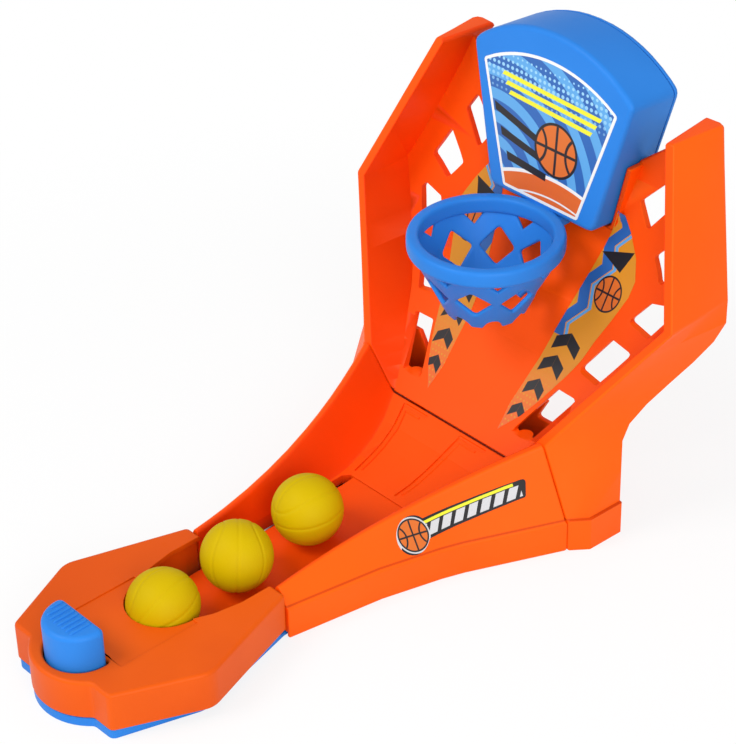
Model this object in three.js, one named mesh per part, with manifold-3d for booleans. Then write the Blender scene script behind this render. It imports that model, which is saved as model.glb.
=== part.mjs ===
// Tabletop basketball game: a finger-launched shooting toy, in millimetres.
// +X is the player's right, +Y runs from the button to the hoop, and +Z is up.
// A press on the button tips a lever, which flicks the long launch tongue under the balls.
import * as THREE from "three";
import { mergeVertices } from "three/addons/utils/BufferGeometryUtils.js";
import Module from "manifold-3d";

const wasm = await Module();
wasm.setup();

// Sizes that several pieces share
const ballDiameter = 27;
const seatGap = 0.3;
const overrun = 6;
const shellWall = 2;
const deckHeight = 20;
const pressTravel = 5;

// Launcher housing, in plan: half widths and places along Y
const deck = {
  cornerHalf: 27.3,
  frontY: -35.4,
  widestHalf: 42.5,
  widestY: -2,
  waistHalf: 27.5,
  rearY: 44,
  skirtBottom: 4,
  edgeRound: 1.5,
  cornerRound: 2.8,
  widestRound: 9,
  bulgeHalf: 17.6,
  bulgeFront: -43.5,
  bulgeFillet: 3,
  rimHalf: 20,
  rimRadius: 15,
  rimWideY: 30,
  stripHalf: 18,
  stripDepth: 0.5,
};

// Base plate under the housing
const plate = {
  thickness: 1.5,
  widestHalf: 37.5,
  rearHalf: 26,
  rearY: 53,
  cornerInset: 0.4,
  rimWall: 1.6,
};

// Launch button: a semicircle in plan with a flat back
const button = {
  radius: 12.7,
  centreY: -26.2,
  backY: -23.8,
  top: 34,
  bottom: 13.3,
  wall: 1.6,
  edgeRound: 1.4,
  cornerRound: 2.2,
  flange: 1.4,
  flangeThick: 1.4,
  holeGap: 0.5,
  collarWall: 1.4,
  collarDrop: 3,
  ridges: 8,
  ridgePitch: 2.3,
  ridgeWide: 1.1,
  ridgeHigh: 0.6,
  ridgeShift: -1.6,
  footHalf: 5,
  footThick: 2,
};

// Lever that turns the press into a lift
const lever = {
  pivotY: -18.5,
  pivotZ: 8.8,
  frontArm: 12,
  rearArm: 13,
  armThick: 2.4,
  armHalf: 5,
  hubRadius: 3,
  hubHalf: 8,
  noseRadius: 1.2,
};
const pin = { radius: 1.2, gap: 0.35 };
const bracket = { thick: 2.4, footLong: 9 };

// Launch tongue and the lane that it lies in
const lane = {
  ballY: 11.5,
  ballFloor: 4.6,
  slope: 0.0896,
  endY: 114.4,
};
const tongue = {
  thick: 1.4,
  frontY: -2.6,
  frontHalf: 12,
  shoulderY: 7,
  shoulderHalf: 17.6,
  widestY: 30,
  widestHalf: 18.2,
  rearHalf: 14,
  slotWide: 4.3,
  lipY: -9,
  lipHalf: 8,
  hingeY: 117.5,
  hingeZ: 8.6,
  hubRadius: 2.7,
  hubHalf: 8,
  endGap: 0.7,
};

// Return spring under the button
const spring = {
  wire: 0.7,
  radius: 2.1,
  y: -34.4,
  turns: 7,
  postRadius: 1.2,
  postHigh: 5,
  stepsPerTurn: 8,
  sides: 5,
};

// Chute: the trough between the housing and the tower
const chute = {
  rearY: 153.1,
  wallStartHalf: 24.6,
  wallFlare: 25.1,
  topStart: 20.6,
  topRise: 13.5,
  topSweep: 7.7,
  wallBend: 0.15,
  lipWide: 2.8,
  lipFlare: 1.4,
  footStartHalf: 21.9,
  footTaper: 8,
  footFlare: 18.2,
  plinthStartHalf: 28.5,
  plinthHigh: 14,
  plinthProud: 1,
  plinthBendY: 112,
  plinthBendHalf: 43.6,
  plinthRearHalf: 62.5,
  floorWall: 2,
  grooveDeep: 0.5,
  grooveWide: 1,
  tabHalf: 4.5,
  tabLow: 2.4,
};

// Tower: the net panel between two flared wings
const tower = {
  frontY: 153.4,
  seamFloor: 26.4,
  seamFloorHalf: 32,
  seamTop: 41.8,
  seamTopHalf: 49.7,
  sideHalf: 68.4,
  sideY: 160,
  backY: 176.5,
  kneeHeight: 93.2,
  kneeHalf: 83.5,
  kneeY: 181.8,
  kneeBackHeight: 88,
  kneeBackY: 213,
  topHeight: 153,
  topHalf: 60.6,
  topY: 204.2,
  topBackHalf: 63.5,
  topBackY: 230,
  lipWide: 4.2,
  wall: 2.2,
  wingWall: 1.4,
  middleShare: 0.4,
  cornerIn: 0.6,
  bulge: 3,
  backRound: 0.5,
  topBackRound: 3.2,
  topEdgeRound: 1.4,
  panelWall: 2.4,
  creaseKneeIn: 4,
  creaseTopIn: 7.3,
  panelTopInner: 131,
  panelTopOuter: 149,
  notchRim: 2.4,
  notchProud: 3,
  ribWide: 1.8,
  ribDeep: 5,
};

// Side profile of the panel, from the seam to its top: [y, z]
const panelProfile = {
  seam: [153.4, 26.4],
  low: [160.2, 32.6],
  sweep: [176.4, 49.4],
  middle: [186.6, 61],
  high: [205.4, 92.5],
  upper: [211.2, 110],
  top: [222, 160],
};

// Backboard: a fan-shaped box with an arched top that leans back
const board = {
  frontY: 199.5,
  bottom: 103.8,
  lean: 4.8,
  depth: 26,
  bottomHalf: 26.9,
  cornerHalf: 40.8,
  cornerHeight: 160,
  archRise: 15.2,
  edgeRound: 2.2,
  cornerRound: 4.4,
  wall: 2,
  coverThick: 2.4,
  fitGap: 0.4,
};

// Hoop: a band with a conical net of two rows of diamonds
const hoop = {
  y: 171.3,
  top: 105.4,
  outerRadius: 30,
  innerRadius: 25,
  bandHigh: 7,
  bandRound: 1.2,
  netBottom: 72.5,
  netTopRadius: 27.6,
  netBottomRadius: 14.5,
  netWall: 1.8,
  holes: 8,
  holeTurn: 12,
  holeZ: 87,
  holeHigh: 13.4,
  holeShare: 0.85,
  slitTip: 94.4,
  slitShare: 0.42,
  scallopDeep: 4,
  scallopShare: 0.62,
  tabHalf: 11,
  tabDeep: 6,
  tabThick: 4,
  pegRadius: 1.4,
  pegDepth: 4.2,
  pegX: 7,
};

// Screws: pan heads under the base plate and inside the casings
const screw = {
  headRadius: 2.3,
  headHigh: 1.1,
  shankRadius: 1.1,
  bossRadius: 3.2,
  gap: 0.4,
  slotWide: 0.7,
  slotDeep: 0.5,
};

const colour = {
  deck: 0xe8622a,
  orange: 0xff6a24,
  blue: 0x3782e1,
  yellow: 0xe1c300,
  steel: 0xb9bcc0,
};

const hair = 1e-5;
const round = { arcSteps: 4, wheel: 24, pinSides: 12, bossSides: 12, screwSides: 10, ballSides: 20 };

// Shape tools

function solid(geometry) {
  const bare = geometry.clone();
  bare.deleteAttribute("normal");
  bare.deleteAttribute("uv");
  const merged = mergeVertices(bare, 1e-4);
  const all = merged.index.array;
  const index = [];
  for (let i = 0; i < all.length; i += 3) {
    const [a, b, c] = all.slice(i, i + 3);
    if (a !== b && b !== c && c !== a) {
      index.push(a, b, c);
    }
  }
  return orient(merged.attributes.position.array, index);
}

function orient(points, index) {
  let volume = 0;
  const a = new THREE.Vector3();
  const b = new THREE.Vector3();
  const c = new THREE.Vector3();
  for (let i = 0; i < index.length; i += 3) {
    a.fromArray(points, index[i] * 3);
    b.fromArray(points, index[i + 1] * 3);
    c.fromArray(points, index[i + 2] * 3);
    volume += a.dot(b.cross(c));
  }
  const triangles = Uint32Array.from(index);
  if (volume < 0) {
    for (let i = 0; i < triangles.length; i += 3) {
      const kept = triangles[i];
      triangles[i] = triangles[i + 1];
      triangles[i + 1] = kept;
    }
  }
  const mesh = new wasm.Mesh({ numProp: 3, vertProperties: Float32Array.from(points), triVerts: triangles });
  return new wasm.Manifold(mesh);
}

function geometryOf(body) {
  const mesh = body.getMesh();
  const geometry = new THREE.BufferGeometry();
  const count = mesh.vertProperties.length / mesh.numProp;
  const points = new Float32Array(count * 3);
  for (let i = 0; i < count; i += 1) {
    points.set(mesh.vertProperties.subarray(i * mesh.numProp, i * mesh.numProp + 3), i * 3);
  }
  geometry.setAttribute("position", new THREE.BufferAttribute(points, 3));
  geometry.setIndex(new THREE.BufferAttribute(Uint32Array.from(mesh.triVerts), 1));
  geometry.computeVertexNormals();
  return geometry;
}

function box(low, high) {
  const size = new THREE.Vector3(high[0] - low[0], high[1] - low[1], high[2] - low[2]);
  const geometry = new THREE.BoxGeometry(size.x, size.y, size.z);
  geometry.translate((low[0] + high[0]) / 2, (low[1] + high[1]) / 2, (low[2] + high[2]) / 2);
  return solid(geometry);
}

// A cylinder or cone from one height to another, along Z at x, y
function post(x, y, low, high, lowRadius, highRadius = lowRadius, sides = round.bossSides) {
  const geometry = new THREE.CylinderGeometry(highRadius, lowRadius, high - low, sides);
  geometry.rotateX(Math.PI / 2);
  geometry.translate(x, y, (low + high) / 2);
  return solid(geometry);
}

// A cylinder along X, centred on x = 0
function rod(y, z, radius, half, sides = round.pinSides) {
  const geometry = new THREE.CylinderGeometry(radius, radius, half * 2, sides);
  geometry.rotateZ(Math.PI / 2);
  geometry.translate(0, y, z);
  return solid(geometry);
}

// Plan outline (x, y) raised from one height to another
function prism(outline, low, high) {
  const shape = new THREE.Shape(outline.map((p) => new THREE.Vector2(p[0], p[1])));
  const geometry = new THREE.ExtrudeGeometry(shape, { depth: high - low, bevelEnabled: false });
  geometry.translate(0, 0, low);
  return solid(geometry);
}

// The same with a rounded upper edge, and a rounded lower one if asked
function domedPrism(outline, low, high, radius, bothEnds = false, steps = 3) {
  const levels = [];
  for (let i = 0; i <= steps; i += 1) {
    const angle = (Math.PI / 2) * (i / steps);
    levels.push([radius * (1 - Math.cos(angle)), radius * (1 - Math.sin(angle))]);
  }
  const upper = levels.map(([drop, down]) => [drop, high - down]);
  const lower = bothEnds ? levels.map(([drop, down]) => [drop, low + down]).reverse() : [[0, low]];
  const rings = [...lower, ...upper].map(([drop, z]) => inset(outline, drop).map((p) => [p[0], p[1], z]));
  return loft(rings, "z");
}

// Front outline (x, z) pushed along Y
function frontPrism(outline, nearY, farY) {
  const shape = new THREE.Shape(outline.map((p) => new THREE.Vector2(p[0], p[1])));
  const geometry = new THREE.ExtrudeGeometry(shape, { depth: farY - nearY, bevelEnabled: false });
  geometry.rotateX(Math.PI / 2);
  geometry.translate(0, farY, 0);
  return solid(geometry);
}

// Side outline (y, z) pushed along X, centred on x = 0
function sidePrism(outline, half, x = 0) {
  const shape = new THREE.Shape(outline.map((p) => new THREE.Vector2(p[0], p[1])));
  const geometry = new THREE.ExtrudeGeometry(shape, { depth: half * 2, bevelEnabled: false });
  geometry.rotateX(Math.PI / 2);
  geometry.rotateZ(Math.PI / 2);
  geometry.translate(x - half, 0, 0);
  return solid(geometry);
}

// Right half of an outline, front to back, completed by its mirror image
function mirrored(half) {
  const other = half.filter((p) => p[0] > 0).map((p) => [-p[0], ...p.slice(1)]);
  return [...half, ...other.reverse()];
}

// Corners of an outline replaced by arcs: each point is [x, y, radius]
function rounded(points, steps = round.arcSteps) {
  const outline = [];
  points.forEach((point, i) => {
    const [x, y, radius = 0] = point;
    if (radius === 0) {
      outline.push([x, y]);
      return;
    }
    const here = new THREE.Vector2(x, y);
    const [last, next] = [points.at(i - 1), points[(i + 1) % points.length]];
    const before = new THREE.Vector2(last[0], last[1]).sub(here);
    const after = new THREE.Vector2(next[0], next[1]).sub(here);
    const bend = Math.abs(Math.PI - before.angleTo(after));
    const room = (leg, corner) => leg.length() * (corner[2] ? 0.5 : 0.95);
    const cut = Math.min(radius * Math.tan(bend / 2), room(before, last), room(after, next));
    const start = here.clone().addScaledVector(before.normalize(), cut);
    const end = here.clone().addScaledVector(after.normalize(), cut);
    const curve = new THREE.QuadraticBezierCurve(start, here, end);
    curve.getPoints(steps).forEach((p) => outline.push([p.x, p.y]));
  });
  return outline.filter((p, i) => Math.hypot(p[0] - outline.at(i - 1)[0], p[1] - outline.at(i - 1)[1]) > 0.01);
}

// An outline moved inwards by a distance
function inset(outline, distance) {
  const points = outline.map((p) => new THREE.Vector2(p[0], p[1]));
  const turn = Math.sign(THREE.ShapeUtils.area(points));
  return points.map((point, i) => {
    const into = point.clone().sub(points.at(i - 1)).normalize();
    const out = points[(i + 1) % points.length].clone().sub(point).normalize();
    const side = new THREE.Vector2(-into.y - out.y, into.x + out.x).normalize();
    const stretch = 1 / Math.max(side.dot(new THREE.Vector2(-into.y, into.x)), 0.4);
    const moved = point.clone().addScaledVector(side, distance * turn * stretch);
    return [moved.x, moved.y];
  });
}

// A closed body through rings of 3D points; flat names the axis that the rings stand square to
function loft(rings, flat) {
  const count = rings[0].length;
  const points = rings.flat(2);
  const index = [];
  for (let i = 0; i < rings.length - 1; i += 1) {
    for (let j = 0; j < count; j += 1) {
      const a = i * count + j;
      const b = i * count + ((j + 1) % count);
      index.push(a, b, b + count, a, b + count, a + count);
    }
  }
  const pick = flat === "y" ? (p) => new THREE.Vector2(p[0], p[2]) : (p) => new THREE.Vector2(p[0], p[1]);
  const closeEnd = (ring, first, forward) => {
    // A hair of unevenness keeps the points that lie in line, so that the end meets every side face
    const flatRing = ring.map(pick).map((p, k) => p.addScalar(hair * Math.sin(k * k)));
    const turn = THREE.ShapeUtils.area(flatRing);
    const faces = THREE.ShapeUtils.triangulateShape(flatRing, []);
    const way = faces.reduce((sum, face) => sum + THREE.ShapeUtils.area(face.map((k) => flatRing[k])), 0);
    const keep = (way * turn > 0) === forward;
    faces.forEach((face) => {
      const order = keep ? face : [...face].reverse();
      index.push(...order.map((k) => first + k));
    });
  };
  closeEnd(rings[0], 0, false);
  closeEnd(rings.at(-1), (rings.length - 1) * count, true);
  return orient(Float32Array.from(points), Uint32Array.from(index));
}

function union(...bodies) {
  return bodies.reduce((sum, body) => sum.add(body));
}

function cut(body, ...tools) {
  return tools.reduce((rest, tool) => rest.subtract(tool), body);
}

function mirror(body) {
  const mesh = body.getMesh();
  const points = Float32Array.from(mesh.vertProperties);
  for (let i = 0; i < points.length; i += mesh.numProp) {
    points[i] = -points[i];
  }
  return orient(points, Uint32Array.from(mesh.triVerts));
}

function bothSides(body) {
  return union(body, mirror(body));
}

const lerp = THREE.MathUtils.lerp;

const game = new THREE.Group();

function place(name, body, tint, roughness = 0.35, metalness = 0) {
  const geometry = body.isBufferGeometry ? body : geometryOf(body);
  const material = new THREE.MeshStandardMaterial({ color: tint, roughness, metalness });
  const mesh = new THREE.Mesh(geometry, material);
  mesh.name = name;
  game.add(mesh);
}

// Lane floor, straight under the balls and then sweeping up into the panel
const laneFloor = (y) => lane.ballFloor + lane.slope * (y - lane.ballY);
const sweepStartY = tongue.hingeY + tongue.hubRadius;
const profile = new THREE.SplineCurve([
  new THREE.Vector2(lane.endY - overrun, laneFloor(lane.endY - overrun)),
  new THREE.Vector2(sweepStartY, laneFloor(sweepStartY)),
  new THREE.Vector2(lerp(sweepStartY, tower.frontY, 0.55), lerp(laneFloor(sweepStartY), tower.seamFloor, 0.4)),
  ...Object.values(panelProfile).map((p) => new THREE.Vector2(...p)),
]);
const profilePoints = profile.getPoints(90);

function alongProfile(value, from, to) {
  const i = Math.max(profilePoints.findIndex((p) => p[from] >= value), 1);
  const a = profilePoints[i - 1];
  const b = profilePoints[i];
  return lerp(a[to], b[to], (value - a[from]) / (b[from] - a[from]));
}
const floorAt = (y) => (y < lane.endY ? laneFloor(y) : alongProfile(y, "x", "y"));
const panelAt = (z) => alongProfile(z, "y", "x");

// Launcher housing

const bulgeRadius = (deck.bulgeHalf ** 2 + (deck.frontY - deck.bulgeFront) ** 2)
  / (2 * (deck.frontY - deck.bulgeFront));

function bulgeArc(drop) {
  const centreY = deck.bulgeFront + bulgeRadius;
  const radius = bulgeRadius - drop;
  const reachAngle = Math.asin(deck.bulgeHalf / bulgeRadius);
  const points = [];
  for (let i = 0; i <= 2 * round.arcSteps; i += 1) {
    const angle = (reachAngle * i) / (2 * round.arcSteps);
    points.push([radius * Math.sin(angle), centreY - radius * Math.cos(angle)]);
  }
  points.at(-1).push(deck.bulgeFillet);
  return points;
}

function deckOutline() {
  return rounded(mirrored([
    ...bulgeArc(0),
    [deck.cornerHalf, deck.frontY, deck.cornerRound],
    [deck.widestHalf, deck.widestY, deck.widestRound],
    [deck.waistHalf, deck.rearY],
  ]));
}

function rimOutline() {
  const arc = [];
  const steps = 2 * round.arcSteps;
  for (let i = 0; i <= steps; i += 1) {
    const angle = (Math.PI / 2) * (i / steps);
    arc.push([deck.rimRadius * Math.sin(angle), lane.ballY - deck.rimRadius * Math.cos(angle)]);
  }
  const wideStart = lerp(lane.ballY, deck.rimWideY, 0.4);
  return mirrored([...arc, [lerp(deck.rimRadius, deck.rimHalf, 0.6), wideStart],
    [deck.rimHalf, deck.rimWideY], [deck.rimHalf, deck.rearY + overrun]]);
}

function buttonOutline(grow) {
  const radius = button.radius + grow;
  const steps = 3 * round.arcSteps;
  const points = [];
  for (let i = 0; i <= steps; i += 1) {
    const angle = (Math.PI / 2) * (i / steps);
    points.push([radius * Math.sin(angle), button.centreY - radius * Math.cos(angle)]);
  }
  points.push([radius, button.backY + grow, button.cornerRound]);
  return rounded(mirrored(points), 3);
}

const baseScrewPlaces = [
  [-23, -28], [23, -28], [-31.2, -2], [31.2, -2],
];
const chuteScrewX = (chute.footStartHalf + deck.waistHalf) / 2 - shellWall / 4;
const chuteScrewY = deck.rearY + (plate.rearY - deck.rearY) / 2;
const towerScrewPlaces = [[-30, tower.sideY + 3], [30, tower.sideY + 3]];

function screwBoss(x, y, low, high) {
  return post(x, y, low, high, screw.bossRadius);
}

function screwHole(x, y, low, high) {
  return post(x, y, low, high, screw.shankRadius + screw.gap);
}

function makeHousing() {
  const under = deckHeight - shellWall;
  const outline = deckOutline();
  const skin = domedPrism(outline, deck.skirtBottom, deckHeight, deck.edgeRound);
  const hollowOutline = inset(outline, shellWall);
  const hollow = union(
    prism(hollowOutline, deck.skirtBottom - overrun, under),
    box([-deck.waistHalf + shellWall, deck.rearY - overrun, deck.skirtBottom - overrun],
      [deck.waistHalf - shellWall, deck.rearY + overrun, under]),
  );
  const shell = cut(skin, hollow);
  const skirtLow = plate.thickness + seatGap;
  const skirtInner = tongue.widestHalf + tongue.slotWide - shellWall / 4;
  const skirt = bothSides(box([skirtInner, lane.ballY, skirtLow],
    [skirtInner + shellWall, deck.rearY, under + shellWall / 2]));
  const rim = rimOutline();
  const noseLow = deckHeight / 2;
  const nose = prism(inset(rim, -shellWall), noseLow, under + shellWall / 2)
    .intersect(box([-deck.rimHalf, lane.ballY - deck.rimRadius - shellWall, noseLow],
      [deck.rimHalf, lane.ballY, deckHeight]));
  const collar = prism(buttonOutline(button.holeGap + button.collarWall), under - button.collarDrop,
    under + shellWall / 2);
  const bosses = baseScrewPlaces.map(([x, y]) => screwBoss(x, y, plate.thickness + seatGap, under + shellWall / 2));
  const holes = baseScrewPlaces.map(([x, y]) => screwHole(x, y, -overrun, under - shellWall));
  const stripHalf = deck.stripHalf;
  const strip = box([-stripHalf, button.backY + button.edgeRound, deckHeight - deck.stripDepth],
    [stripHalf, lane.ballY, deckHeight + overrun]);
  const tipWindow = box([-tongue.frontHalf - seatGap * 2, tongue.lipY - overrun, -overrun],
    [tongue.frontHalf + seatGap * 2, tongue.frontY + overrun, under]);
  const solidPart = union(shell, skirt, cut(nose, tipWindow), collar, ...bosses);
  return cut(solidPart, prism(rim, -overrun, deckHeight + overrun), strip,
    prism(buttonOutline(button.holeGap), -overrun, deckHeight + overrun), ...holes);
}

// Base plate, with the brackets that hold the lever pin

function plateOutline() {
  const cornerHalf = deck.cornerHalf - plate.cornerInset;
  const frontY = deck.frontY + plate.cornerInset;
  return rounded(mirrored([
    ...bulgeArc(plate.cornerInset),
    [cornerHalf, frontY, deck.cornerRound],
    [plate.widestHalf, deck.widestY, deck.widestRound],
    [plate.rearHalf, deck.rearY, deck.cornerRound],
    [plate.rearHalf, plate.rearY],
  ]));
}

function makePlate() {
  const outline = plateOutline();
  const rimTop = deck.skirtBottom - seatGap;
  const tub = cut(prism(outline, 0, rimTop), prism(inset(outline, plate.rimWall), plate.thickness, rimTop + overrun));
  const floor = prism(outline, 0, plate.thickness);
  const behind = box([-deck.cornerHalf - overrun, deck.rearY - shellWall, plate.thickness],
    [deck.cornerHalf + overrun, plate.rearY + overrun, rimTop + overrun]);
  const laneTop = box([-tongue.widestHalf - tongue.slotWide - shellWall, lane.ballY - shellWall, plate.thickness],
    [tongue.widestHalf + tongue.slotWide + shellWall, plate.rearY + overrun, rimTop + overrun]);
  const earX = lever.hubHalf + seatGap + bracket.thick / 2;
  const earHigh = lever.pivotZ + lever.hubRadius;
  const ear = sidePrism(rounded([
    [lever.pivotY - bracket.footLong / 2, plate.thickness - shellWall / 2],
    [lever.pivotY + bracket.footLong / 2, plate.thickness - shellWall / 2],
    [lever.pivotY + lever.hubRadius, earHigh, lever.hubRadius],
    [lever.pivotY - lever.hubRadius, earHigh, lever.hubRadius],
  ], 3), bracket.thick / 2, earX);
  const springPost = post(0, spring.y, plate.thickness - shellWall / 2, plate.thickness + spring.postHigh,
    spring.postRadius);
  const pinHole = rod(lever.pivotY, lever.pivotZ, pin.radius + pin.gap, deck.cornerHalf);
  const places = [...baseScrewPlaces, [-chuteScrewX, chuteScrewY], [chuteScrewX, chuteScrewY]];
  const holes = places.map(([x, y]) => screwHole(x, y, -overrun, plate.thickness + overrun));
  const sinks = places.map(([x, y]) => post(x, y, -overrun, screw.headHigh + seatGap, screw.headRadius + screw.gap));
  const tray = cut(union(floor, tub), behind, laneTop);
  return cut(union(tray, bothSides(ear), springPost), pinHole, ...holes, ...sinks);
}

// Button: a cap with grip ridges, a retaining flange, a foot on the lever and a seat for the spring

const leverTop = lever.pivotZ + lever.armThick / 2;
const springTop = leverTop + spring.postHigh + pressTravel;

function makeButton() {
  const outline = buttonOutline(0);
  const cap = domedPrism(outline, button.bottom, button.top, button.edgeRound);
  const hollow = prism(buttonOutline(-button.wall), button.bottom - overrun, button.top - button.wall);
  const flange = prism(buttonOutline(button.flange), button.bottom, button.bottom + button.flangeThick)
    .intersect(box([-button.radius - overrun, button.centreY - button.radius - overrun, button.bottom],
      [button.radius + overrun, button.backY, button.top]));
  const under = button.top - button.wall - button.wall / 2;
  const footY = lever.pivotY - lever.frontArm;
  const foot = box([-button.footHalf, footY - button.footThick / 2, leverTop + seatGap],
    [button.footHalf, footY + button.footThick / 2, under + button.wall]);
  const seat = post(0, spring.y, springTop + seatGap, under + button.wall, spring.radius + spring.wire / 2);
  const ridges = [];
  for (let i = 0; i < button.ridges; i += 1) {
    const x = button.ridgeShift + (i - (button.ridges - 1) / 2) * button.ridgePitch;
    const sweep = Math.sqrt(Math.max((button.radius - button.edgeRound * 1.5) ** 2 - x ** 2, 0));
    ridges.push(box([x - button.ridgeWide / 2, button.centreY - sweep, button.top - button.ridgeHigh],
      [x + button.ridgeWide / 2, button.backY - button.edgeRound, button.top + button.ridgeHigh]));
  }
  return union(cut(union(cap, flange), hollow), foot, seat, ...ridges);
}

// Lever: a rocker on its pin, with a flat front arm and a round nose under the tongue's lip

function makeLever() {
  const tipY = lever.pivotY - lever.frontArm - button.footThick / 2;
  const noseY = lever.pivotY + lever.rearArm;
  const half = lever.armThick / 2;
  const arm = box([-lever.armHalf, tipY, lever.pivotZ - half], [lever.armHalf, noseY, lever.pivotZ + half]);
  const hub = rod(lever.pivotY, lever.pivotZ, lever.hubRadius, lever.hubHalf);
  const nose = rod(noseY, lever.pivotZ, lever.noseRadius, lever.armHalf);
  return cut(union(arm, hub, nose), rod(lever.pivotY, lever.pivotZ, pin.radius + pin.gap, deck.cornerHalf));
}

function makePin(y, z, half) {
  return rod(y, z, pin.radius, half);
}

// Return spring: one wire wound between the plate and the button

function makeSpring() {
  const low = plate.thickness + seatGap + spring.wire / 2;
  const high = springTop - spring.wire / 2;
  const rings = [];
  const steps = spring.turns * spring.stepsPerTurn;
  const rise = (high - low) / steps;
  for (let i = 0; i <= steps; i += 1) {
    const angle = (i / spring.stepsPerTurn) * Math.PI * 2;
    const ring = [];
    for (let j = 0; j < spring.sides; j += 1) {
      const around = (j / spring.sides) * Math.PI * 2;
      const r = spring.radius + (spring.wire / 2) * Math.cos(around);
      const z = low + rise * i + (spring.wire / 2) * Math.sin(around);
      ring.push([r * Math.cos(angle), spring.y + r * Math.sin(angle), z]);
    }
    rings.push(ring);
  }
  return tube(rings);
}

// A tube through rings, its ends closed by fans
function tube(rings) {
  const count = rings[0].length;
  const index = [];
  for (let i = 0; i < rings.length - 1; i += 1) {
    for (let j = 0; j < count; j += 1) {
      const a = i * count + j;
      const b = i * count + ((j + 1) % count);
      index.push(a, b, b + count, a, b + count, a + count);
    }
  }
  const last = (rings.length - 1) * count;
  for (let j = 1; j < count - 1; j += 1) {
    index.push(0, j + 1, j, last, last + j, last + j + 1);
  }
  return orient(Float32Array.from(rings.flat(2)), Uint32Array.from(index));
}

// Launch tongue: the strip that the balls lie on, with an upturned front and a hinge hub

const lipLow = lever.pivotZ + lever.noseRadius + seatGap;

function tongueOutline() {
  return mirrored([
    [0, tongue.frontY],
    [tongue.frontHalf, tongue.frontY],
    [tongue.shoulderHalf, tongue.shoulderY],
    [tongue.widestHalf, tongue.widestY],
    [tongue.rearHalf, lane.endY - overrun],
    [tongue.rearHalf, lane.endY],
    [0, lane.endY],
  ]);
}

function makeTongue() {
  const thick = tongue.thick;
  const startY = tongue.frontY - overrun;
  const slab = sidePrism([
    [startY, laneFloor(startY) - thick], [lane.endY, laneFloor(lane.endY) - thick],
    [lane.endY, laneFloor(lane.endY)], [startY, laneFloor(startY)],
  ], tongue.widestHalf + overrun);
  const strip = slab.intersect(prism(tongueOutline(), -overrun, deckHeight));
  const wall = box([-tongue.frontHalf, tongue.frontY - thick / 2, laneFloor(tongue.frontY) - thick / 2],
    [tongue.frontHalf, tongue.frontY + thick / 2, lipLow + thick]);
  const lip = box([-tongue.lipHalf, tongue.lipY, lipLow], [tongue.lipHalf, tongue.frontY, lipLow + thick]);
  const neck = box([-tongue.hubHalf, lane.endY - thick * 2, tongue.hingeZ],
    [tongue.hubHalf, lane.endY, laneFloor(lane.endY - thick * 2) - thick / 2]);
  const bridge = box([-tongue.hubHalf, lane.endY - thick * 2, tongue.hingeZ - thick / 2],
    [tongue.hubHalf, tongue.hingeY, tongue.hingeZ + thick]);
  const hub = rod(tongue.hingeY, tongue.hingeZ, tongue.hubRadius, tongue.hubHalf);
  const ballRoom = ball(lane.ballY, seatGap);
  const pinHole = rod(tongue.hingeY, tongue.hingeZ, pin.radius + pin.gap, deck.cornerHalf);
  return cut(union(strip, wall, lip, neck, bridge, hub), pinHole, ballRoom);
}

// Balls on the tongue, each clear of it by the seat gap

const ballYs = [lane.ballY, 46, 80.3];

function ball(y, grow) {
  const radius = ballDiameter / 2;
  const tilt = Math.atan(lane.slope);
  const geometry = new THREE.SphereGeometry(radius + grow, round.ballSides, round.ballSides * 0.6);
  geometry.rotateX(Math.PI / 2);
  const high = radius + seatGap;
  geometry.translate(0, y - high * Math.sin(tilt), laneFloor(y) + high * Math.cos(tilt));
  return solid(geometry);
}

// Chute: a trough lofted through stations along Y, hollow underneath

const chuteShare = (y) => (y - deck.rearY) / (tower.frontY - deck.rearY);
const wallHalfAt = (y) => chute.wallStartHalf + chute.wallFlare * chuteShare(y) ** 2;
const wallTopAt = (y) => chute.topStart + chute.topRise * chuteShare(y) + chute.topSweep * chuteShare(y) ** 2;
const footHalfAt = (y) => chute.footStartHalf - chute.footTaper * chuteShare(y)
  + chute.footFlare * chuteShare(y) ** 4;

const plinthCurve = [
  [deck.rearY, chute.plinthStartHalf],
  [lerp(deck.rearY, chute.plinthBendY, 0.58), lerp(chute.plinthStartHalf, chute.plinthBendHalf, 0.46)],
  [chute.plinthBendY, chute.plinthBendHalf],
  [tower.frontY, chute.plinthRearHalf],
];

function plinthHalfAt(y) {
  const i = Math.min(Math.max(plinthCurve.findIndex((p) => p[0] >= y), 1), plinthCurve.length - 1);
  const [a, b] = [plinthCurve[i - 1], plinthCurve[i]];
  return lerp(a[1], b[1], (y - a[0]) / (b[0] - a[0]));
}

// The inner face of a side wall, from the floor's edge up to the lip
function wallCurve(y, drop, steps = 6) {
  const lip = chute.lipWide + chute.lipFlare * chuteShare(y);
  const foot = new THREE.Vector2(footHalfAt(y), floorAt(y) - drop);
  const head = new THREE.Vector2(wallHalfAt(y) - lip, wallTopAt(y));
  const bend = new THREE.Vector2(lerp(foot.x, head.x, chute.wallBend * chuteShare(y)), foot.y);
  return new THREE.QuadraticBezierCurve(foot, bend, head).getPoints(steps);
}

function chuteRing(y) {
  const top = wallTopAt(y);
  const half = wallHalfAt(y);
  const edge = shellWall * 0.4;
  const side = plinthHalfAt(y);
  const inner = wallCurve(y, 0).map((p) => [p.x, y, p.y]);
  return mirrored([
    [0, y, floorAt(y)],
    ...inner.slice(0, -1),
    [inner.at(-1)[0], y, top - edge],
    [inner.at(-1)[0] + edge, y, top],
    [half - edge, y, top],
    [half, y, top - edge],
    [side - chute.plinthProud, y, chute.plinthHigh],
    [side, y, chute.plinthHigh - chute.plinthProud],
    [side, y, 0],
    [0, y, 0],
  ]);
}

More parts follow.
